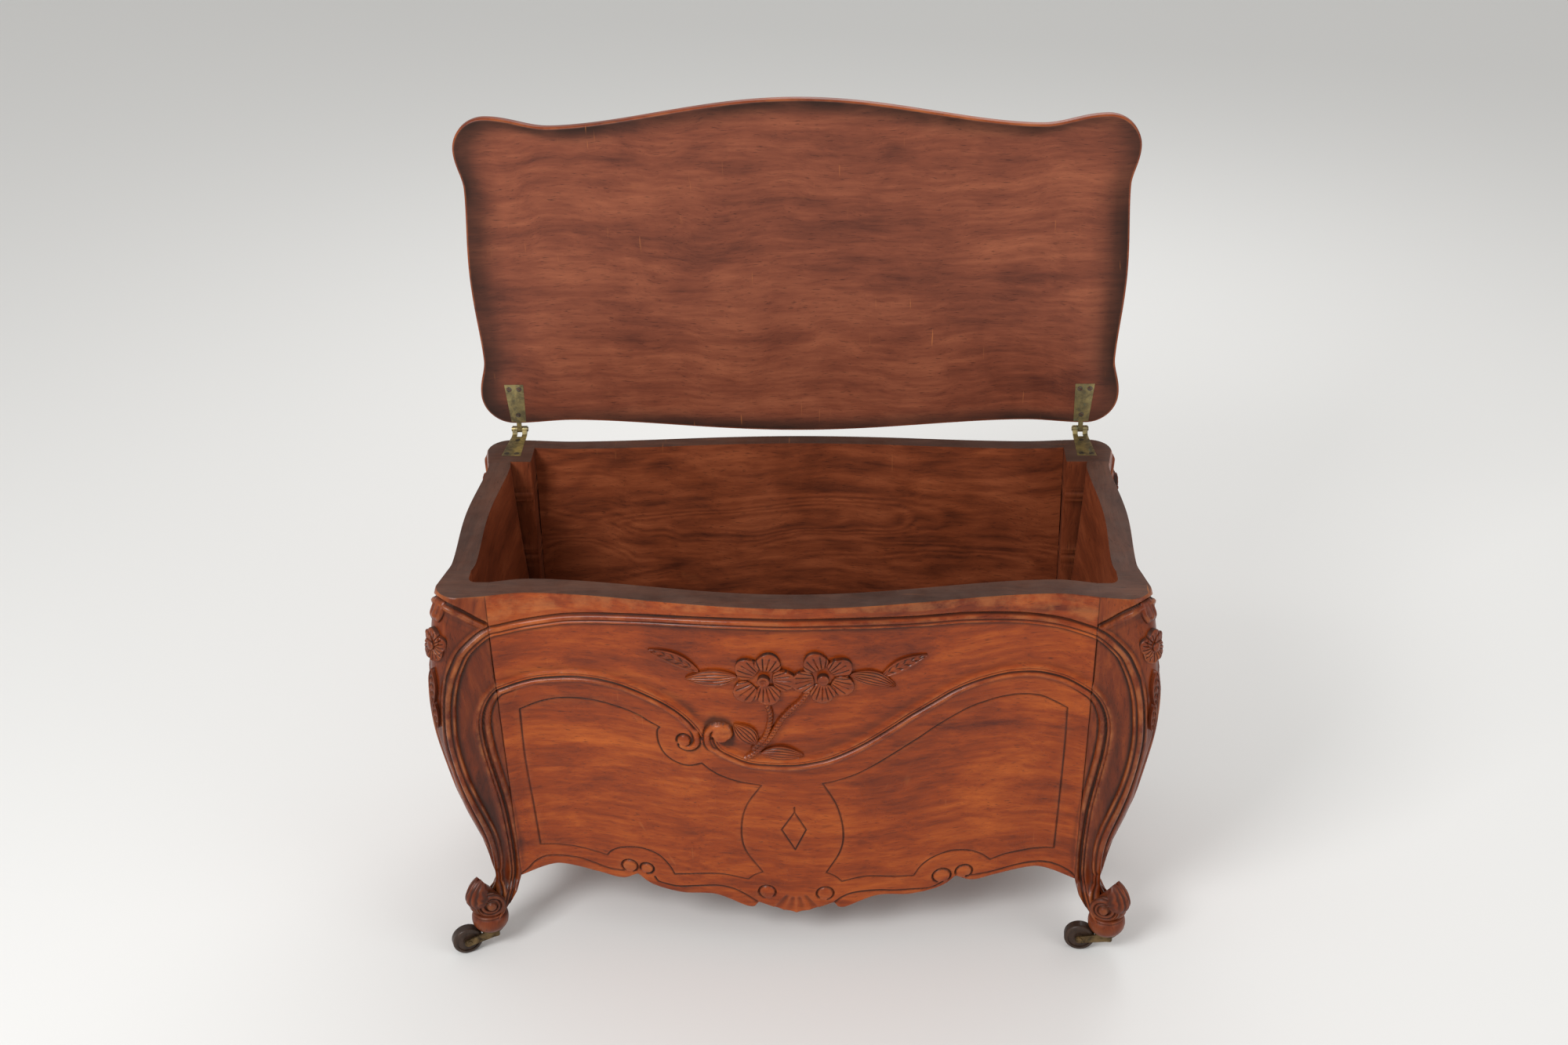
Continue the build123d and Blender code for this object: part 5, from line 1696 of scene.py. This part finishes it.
def age_and_shade_group() -> bpy.types.NodeTree:
    """Age: dirt with painted shade in the hollows, rubbed edges, scratches and dust on what faces up."""
    group, tree, given, result = new_group(
        "age_use_and_shade",
        [("Dirt_and_Shade", "NodeSocketFloat", 1.0), ("Rub", "NodeSocketFloat", 1.0), ("Scratches", "NodeSocketFloat", 0.5)],
        [("Grime_and_Shade", "NodeSocketFloat"), ("Rubbed", "NodeSocketFloat"), ("Scratch", "NodeSocketFloat"),
         ("Dust", "NodeSocketFloat")],
    )
    place = tree.node("ShaderNodeTexCoord").outputs["Object"]
    grime_and_shade = tree.node("ShaderNodeAttribute", attribute_name="grime_and_shade").outputs["Fac"]
    wear = tree.node("ShaderNodeAttribute", attribute_name="wear").outputs["Fac"]
    patchy = tree.noise(place, 38.0, 5.0, 0.6)
    broad = tree.noise(place, 9.0, 3.0, 0.55)
    # the mask of dirt and painted shade in the hollows, broken up by broad noise
    held = tree.times(grime_and_shade, tree.stretch(broad, 0.25, 0.6, 0.55, 1.0))
    held = tree.times(held, given.outputs["Dirt_and_Shade"], clamp=True)
    worn = tree.times(wear, tree.stretch(patchy, 0.42, 0.62))
    worn = tree.times(worn, given.outputs["Rub"], clamp=True)
    lines = []
    for turn, scale in (((0.3, 0.2, 0.5), (14.0, 300.0, 14.0)), ((0.9, 1.3, 2.1), (260.0, 11.0, 17.0))):
        turned = tree.node("ShaderNodeMapping", {"Vector": place, "Rotation": turn, "Scale": scale}).outputs[0]
        lines.append(tree.stretch(tree.noise(turned, 1.0, 2.0, 0.5), 0.70, 0.76))
    scratch = tree.math("MAXIMUM", lines[0], lines[1])
    scratch = tree.times(scratch, tree.stretch(broad, 0.5, 0.66))
    scratch = tree.times(scratch, given.outputs["Scratches"], clamp=True)
    normal = tree.node("ShaderNodeNewGeometry").outputs["Normal"]
    up = tree.node("ShaderNodeSeparateXYZ", {0: normal}).outputs[2]
    dust = tree.times(tree.stretch(up, 0.75, 0.98), tree.stretch(patchy, 0.35, 0.7, 0.25, 1.0))
    tree.fill(result, {"Grime_and_Shade": held, "Rubbed": worn, "Scratch": scratch, "Dust": dust})
    return group


class Grain(Enum):
    """Which way the grain runs: how much each axis is stretched across it."""

    ALONG_X = (1.0, 9.0, 9.0)
    ALONG_Y = (9.0, 1.0, 9.0)
    ALONG_Z = (9.0, 9.0, 1.0)


@dataclass(frozen=True)
class WoodFinish:
    """A wood and its polish."""

    name: str
    grain: Grain
    dark: Colour
    middle: Colour
    light: Colour
    # near black for the hollows: dirt and painted shade
    dirt_and_shade: Colour = (0.018, 0.008, 0.005)
    rubbed: Colour = (0.50, 0.17, 0.050)
    dust: Colour = (0.16, 0.12, 0.10)
    dirt_amount: float = 1.0
    rub_amount: float = 0.35
    dust_amount: float = 0.0
    scratches: float = 0.4
    cathedral: float = 0.0
    roughness: float = 0.28
    coat: float = 0.05
    gloss: float = 0.26
    relief: float = 0.25

    def make(self, figure: bpy.types.NodeTree, age: bpy.types.NodeTree) -> Material:
        """Builds the material from the shared groups."""
        material, tree = new_material(self.name)
        grain = tree.node("ShaderNodeGroup", node_tree=figure)
        tree.fill(grain, {"Along": self.grain.value, "Cathedral": self.cathedral})
        old = tree.node("ShaderNodeGroup", node_tree=age)
        tree.fill(old, {"Dirt_and_Shade": self.dirt_amount, "Rub": self.rub_amount, "Scratches": self.scratches})
        tone = tree.plus(tree.times(grain.outputs["Streak"], 0.72), tree.times(grain.outputs["Blotch"], 0.28))
        ramp = tree.node("ShaderNodeValToRGB", {0: tone})
        elements = ramp.color_ramp.elements
        elements[0].position, elements[0].color = 0.36, (*self.dark, 1)
        elements[1].position, elements[1].color = 0.66, (*self.light, 1)
        between = elements.new(0.50)
        between.color = (*self.middle, 1)
        pores = tree.times(grain.outputs["Pores"], 0.55)
        colour = tree.mix(pores, ramp.outputs[0], (*(0.45 * c for c in self.dark), 1))
        colour = tree.mix(tree.times(old.outputs["Dust"], self.dust_amount), colour, (*self.dust, 1))
        # the hollows are darkened nearly to black: dirt and painted shade
        colour = tree.mix(tree.times(old.outputs["Grime_and_Shade"], 0.93), colour, (*self.dirt_and_shade, 1))
        colour = tree.mix(old.outputs["Rubbed"], colour, (*self.rubbed, 1))
        colour = tree.mix(tree.times(old.outputs["Scratch"], 0.5), colour, (*self.rubbed, 1))
        rough = tree.stretch(grain.outputs["Blotch"], 0.3, 0.7, self.roughness - 0.07, self.roughness + 0.10)
        rough = tree.plus(rough, tree.times(old.outputs["Grime_and_Shade"], 0.30))
        rough = tree.plus(rough, tree.times(old.outputs["Scratch"], 0.2), clamp=True)
        coat = tree.minus(self.coat, tree.times(old.outputs["Grime_and_Shade"], self.coat), clamp=True)
        bumps = tree.minus(grain.outputs["Height"], tree.times(old.outputs["Scratch"], 0.8))
        bump = tree.node("ShaderNodeBump", {"Strength": self.relief, "Distance": 0.0006, "Height": bumps})
        shader = tree.node("ShaderNodeBsdfPrincipled", {
            "Base Color": colour, "Roughness": rough, "Coat Weight": coat, "Normal": bump.outputs[0],
            "Coat Roughness": 0.18, "Specular IOR Level": self.gloss,
        })
        tree.node("ShaderNodeOutputMaterial", {0: shader.outputs[0]})
        return material


@dataclass(frozen=True)
class BrassFinish:
    """Old brass: dulled in patches, with a little verdigris."""

    name: str
    bright: Colour
    dull: Colour
    verdigris: float = 0.1
    roughness: float = 0.42

    def make(self, age: bpy.types.NodeTree) -> Material:
        """Builds the material from the shared group."""
        material, tree = new_material(self.name)
        old = tree.node("ShaderNodeGroup", node_tree=age)
        tree.fill(old, {"Scratches": 0.8})
        place = tree.node("ShaderNodeTexCoord").outputs["Object"]
        cloud = tree.noise(place, 85.0, 5.0, 0.6, 0.4)
        spots = tree.noise(place, 190.0, 4.0, 0.6)
        colour = tree.mix(tree.stretch(cloud, 0.38, 0.64), (*self.dull, 1), (*self.bright, 1))
        green = tree.times(tree.stretch(spots, 0.60, 0.70), self.verdigris * 4, clamp=True)
        colour = tree.mix(green, colour, (0.05, 0.16, 0.12, 1))
        colour = tree.mix(tree.times(old.outputs["Scratch"], 0.6), colour, (*self.bright, 1))
        metallic = tree.minus(0.92, tree.times(green, 0.7), clamp=True)
        rough = tree.stretch(cloud, 0.3, 0.7, self.roughness + 0.14, self.roughness - 0.10)
        rough = tree.plus(rough, tree.times(green, 0.3), clamp=True)
        bump = tree.node("ShaderNodeBump", {"Strength": 0.25, "Distance": 0.0003, "Height": cloud})
        shader = tree.node("ShaderNodeBsdfPrincipled", {
            "Base Color": colour, "Roughness": rough, "Metallic": metallic, "Normal": bump.outputs[0],
        })
        tree.node("ShaderNodeOutputMaterial", {0: shader.outputs[0]})
        return material


class Finishes:
    """Every finish on the chest, made once."""

    def __init__(self) -> None:
        """Builds the shared groups and the materials."""
        figure, age = wood_figure_group(), age_and_shade_group()
        front = {"dark": (0.095, 0.013, 0.003), "middle": (0.255, 0.039, 0.004), "light": (0.450, 0.096, 0.011)}
        shaft = {"dark": (0.052, 0.009, 0.003), "middle": (0.145, 0.023, 0.004), "light": (0.280, 0.056, 0.009)}
        carving = {"dark": (0.080, 0.012, 0.003), "middle": (0.215, 0.034, 0.005), "light": (0.380, 0.082, 0.011)}
        oiled = {"dark": (0.070, 0.015, 0.006), "middle": (0.190, 0.042, 0.014), "light": (0.330, 0.085, 0.030),
                 "roughness": 0.5, "coat": 0.05}
        lid = {"dark": (0.090, 0.022, 0.012), "middle": (0.195, 0.050, 0.024), "light": (0.330, 0.098, 0.045)}
        rim = {"dark": (0.034, 0.012, 0.007), "middle": (0.070, 0.025, 0.014), "light": (0.125, 0.047, 0.026),
               "roughness": 0.6, "coat": 0.0, "dust_amount": 0.18, "scratches": 1.0}
        wheel = {"dark": (0.012, 0.007, 0.005), "middle": (0.030, 0.016, 0.010), "light": (0.060, 0.032, 0.020)}

        def wood(name: str, grain: Grain, **finish: object) -> Material:
            """Builds a wood from the shared groups."""
            return WoodFinish(name, grain, **finish).make(figure, age)

        def brass(name: str, *finish: object) -> Material:
            """Builds a brass from the shared group."""
            return BrassFinish(name, *finish).make(age)

        self.front = wood("polished_walnut_front", Grain.ALONG_X, **front)
        self.side = wood("polished_walnut_side", Grain.ALONG_Y, **front)
        self.shaft = wood("polished_walnut_leg", Grain.ALONG_Z, **shaft, rub_amount=0.4)
        self.carving = wood("polished_walnut_carving", Grain.ALONG_X, **carving, rub_amount=0.3, coat=0.12)
        self.inside_x = wood("oiled_wood_long", Grain.ALONG_X, **oiled, cathedral=1.0)
        self.inside_y = wood("oiled_wood_side", Grain.ALONG_Y, **oiled)
        self.inside_z = wood("oiled_wood_post", Grain.ALONG_Z, **oiled)
        self.rim_x = wood("worn_rim_long", Grain.ALONG_X, **rim)
        self.rim_y = wood("worn_rim_side", Grain.ALONG_Y, **rim)
        self.lid_under = wood("lid_underside", Grain.ALONG_X, **lid, roughness=0.48, coat=0.08, scratches=1.0,
                              dirt_amount=1.1)
        self.lid_top = wood("lid_top", Grain.ALONG_X, **front, roughness=0.36)
        self.wheel = wood("dark_turned_wood", Grain.ALONG_Z, **wheel, roughness=0.45, coat=0.15)
        self.hinge = brass("old_brass_hinge", (0.45, 0.36, 0.16), (0.17, 0.14, 0.08), 0.10)
        self.caster = brass("old_brass_caster", (0.22, 0.145, 0.065), (0.055, 0.036, 0.020), 0.05)
        self.steel = brass("dark_screw", (0.20, 0.17, 0.13), (0.06, 0.05, 0.04), 0.0, 0.5)


# ---------------- studio
# each lamp's name, place, size and power
LAMPS = (
    ("key", (-1.7, -2.3, 2.7), 1.3, 75.0),
    ("fill", (2.4, -1.6, 1.5), 1.8, 16.0),
    ("back", (0.4, 1.9, 2.2), 1.5, 22.0),
)


@dataclass
class Studio:
    """Plain floor, soft light and the camera."""

    lens: float = 45.207
    place: tuple[float, float, float] = (0.0706, -2.1856, 1.8183)
    pitch: float = 0.53000
    yaw: float = 0.03901
    roll: float = -0.01928
    floor_half: float = 14.0
    lamps_aim: tuple = (0.0, 0.0, 0.45)

    def camera(self) -> None:
        """Sets up the camera."""
        data = bpy.data.cameras.new("view")
        data.sensor_width = 36.0
        data.lens = self.lens
        data.clip_end = 50.0
        camera = bpy.data.objects.new("view", data)
        bpy.context.scene.collection.objects.link(camera)
        cp, sp = math.cos(self.pitch), math.sin(self.pitch)
        turn = Matrix.Rotation(self.yaw, 3, "Z")
        right = turn @ Vector((1, 0, 0))
        up = turn @ Vector((0, sp, cp))
        forward = turn @ Vector((0, cp, -sp))
        cr, sr = math.cos(self.roll), math.sin(self.roll)
        x_axis = cr * right + sr * up
        y_axis = -sr * right + cr * up
        basis = Matrix((x_axis, y_axis, -forward)).transposed()
        camera.matrix_world = Matrix.Translation(self.place) @ basis.to_4x4()
        bpy.context.scene.camera = camera

    def floor(self) -> None:
        """A pale floor that takes the shadow."""
        mesh = bpy.data.meshes.new("floor")
        half = self.floor_half
        mesh.from_pydata([(-half, -half, 0), (half, -half, 0), (half, half, 0), (-half, half, 0)], [], [(0, 1, 2, 3)])
        floor = bpy.data.objects.new("floor", mesh)
        bpy.context.scene.collection.objects.link(floor)
        material = bpy.data.materials.new("pale_floor")
        material.use_nodes = True
        shader = material.node_tree.nodes["Principled BSDF"]
        shader.inputs["Base Color"].default_value = (0.78, 0.78, 0.77, 1)
        shader.inputs["Roughness"].default_value = 0.9
        mesh.materials.append(material)

    def lamp(self, name: str, place: tuple[float, float, float], size: float, power: float) -> None:
        """A square soft lamp aimed at the chest."""
        data = bpy.data.lights.new(name, "AREA")
        data.energy = power
        data.size = size
        lamp = bpy.data.objects.new(name, data)
        lamp.location = place
        lamp.rotation_mode = "QUATERNION"
        lamp.rotation_quaternion = (Vector(self.lamps_aim) - Vector(place)).to_track_quat("-Z", "Y")
        bpy.context.scene.collection.objects.link(lamp)

    def set_up(self) -> None:
        """Floor, lamps, world and colour settings."""
        self.camera()
        self.floor()
        for name, place, size, power in LAMPS:
            self.lamp(name, place, size, power)
        world = bpy.data.worlds.new("studio")
        world.use_nodes = True
        background = world.node_tree.nodes["Background"]
        background.inputs[0].default_value = (1.0, 0.99, 0.97, 1)
        background.inputs[1].default_value = 0.62
        bpy.context.scene.world = world
        bpy.context.scene.view_settings.view_transform = "Standard"


# ---------------- the metalwork and floor
class Fittings:
    """CAD nodes that keep their shape and take a finish."""

    def __init__(self, frame: dict, finishes: Finishes) -> None:
        """Takes the frame and the finishes."""
        self.nodes = frame["nodes"]
        self.finishes = finishes

    def finish_for(self, name: str) -> Optional[Material]:
        """The finish of a node, by its name."""
        f = self.finishes
        if "hinge" in name:
            return f.steel if "screws" in name else f.hinge
        if "wheel" in name:
            return f.wheel
        if "caster" in name:
            return f.steel if "screws" in name else f.caster
        if name in ("bottom_board", "front_batten", "back_batten"):
            return f.inside_x
        if name in ("left_batten", "right_batten"):
            return f.inside_y
        return None

    def dress(self) -> None:
        """Gives each kept node its finish."""
        for name, node in self.nodes.items():
            material = self.finish_for(name)
            if material is None:
                continue
            node.data.materials.clear()
            node.data.materials.append(material)
            log.info("%s: %s", name, material.name)


def main() -> None:
    """Builds the looks of the chest round its frame."""
    logging.basicConfig(level=logging.INFO, format="%(name)s: %(message)s")
    bpy.ops.object.select_all(action="SELECT")
    bpy.ops.object.delete()
    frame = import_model()
    finishes = Finishes()
    Studio().set_up()
    Fittings(frame, finishes).dress()
    long_wall = [finishes.front, finishes.inside_x, finishes.rim_x]
    side_wall = [finishes.side, finishes.inside_y, finishes.rim_y]
    CarvedWall(Wall.FRONT, pitch=1.0, spread=1.15).make(long_wall)
    CarvedWall(Wall.BACK, pitch=2.4, spread=2.6).make(long_wall)
    CarvedWall(Wall.LEFT, pitch=1.8, spread=2.0).make(side_wall)
    CarvedWall(Wall.RIGHT, pitch=1.8, spread=2.0).make(side_wall)
    leg_finishes = [finishes.shaft, finishes.inside_z, finishes.rim_x]
    for side in ("left", "right"):
        CarvedLeg(f"front_{side}", pitch=1.1, flat=54, bend=42).make(leg_finishes)
        CarvedLeg(f"rear_{side}").make(leg_finishes)
    Sprig().make([finishes.carving])
    for wall in (Wall.LEFT, Wall.RIGHT):
        SideFlower(wall).make([finishes.carving])
    Lid().make([finishes.lid_under, finishes.lid_top])


if __name__ == "__main__":
    main()
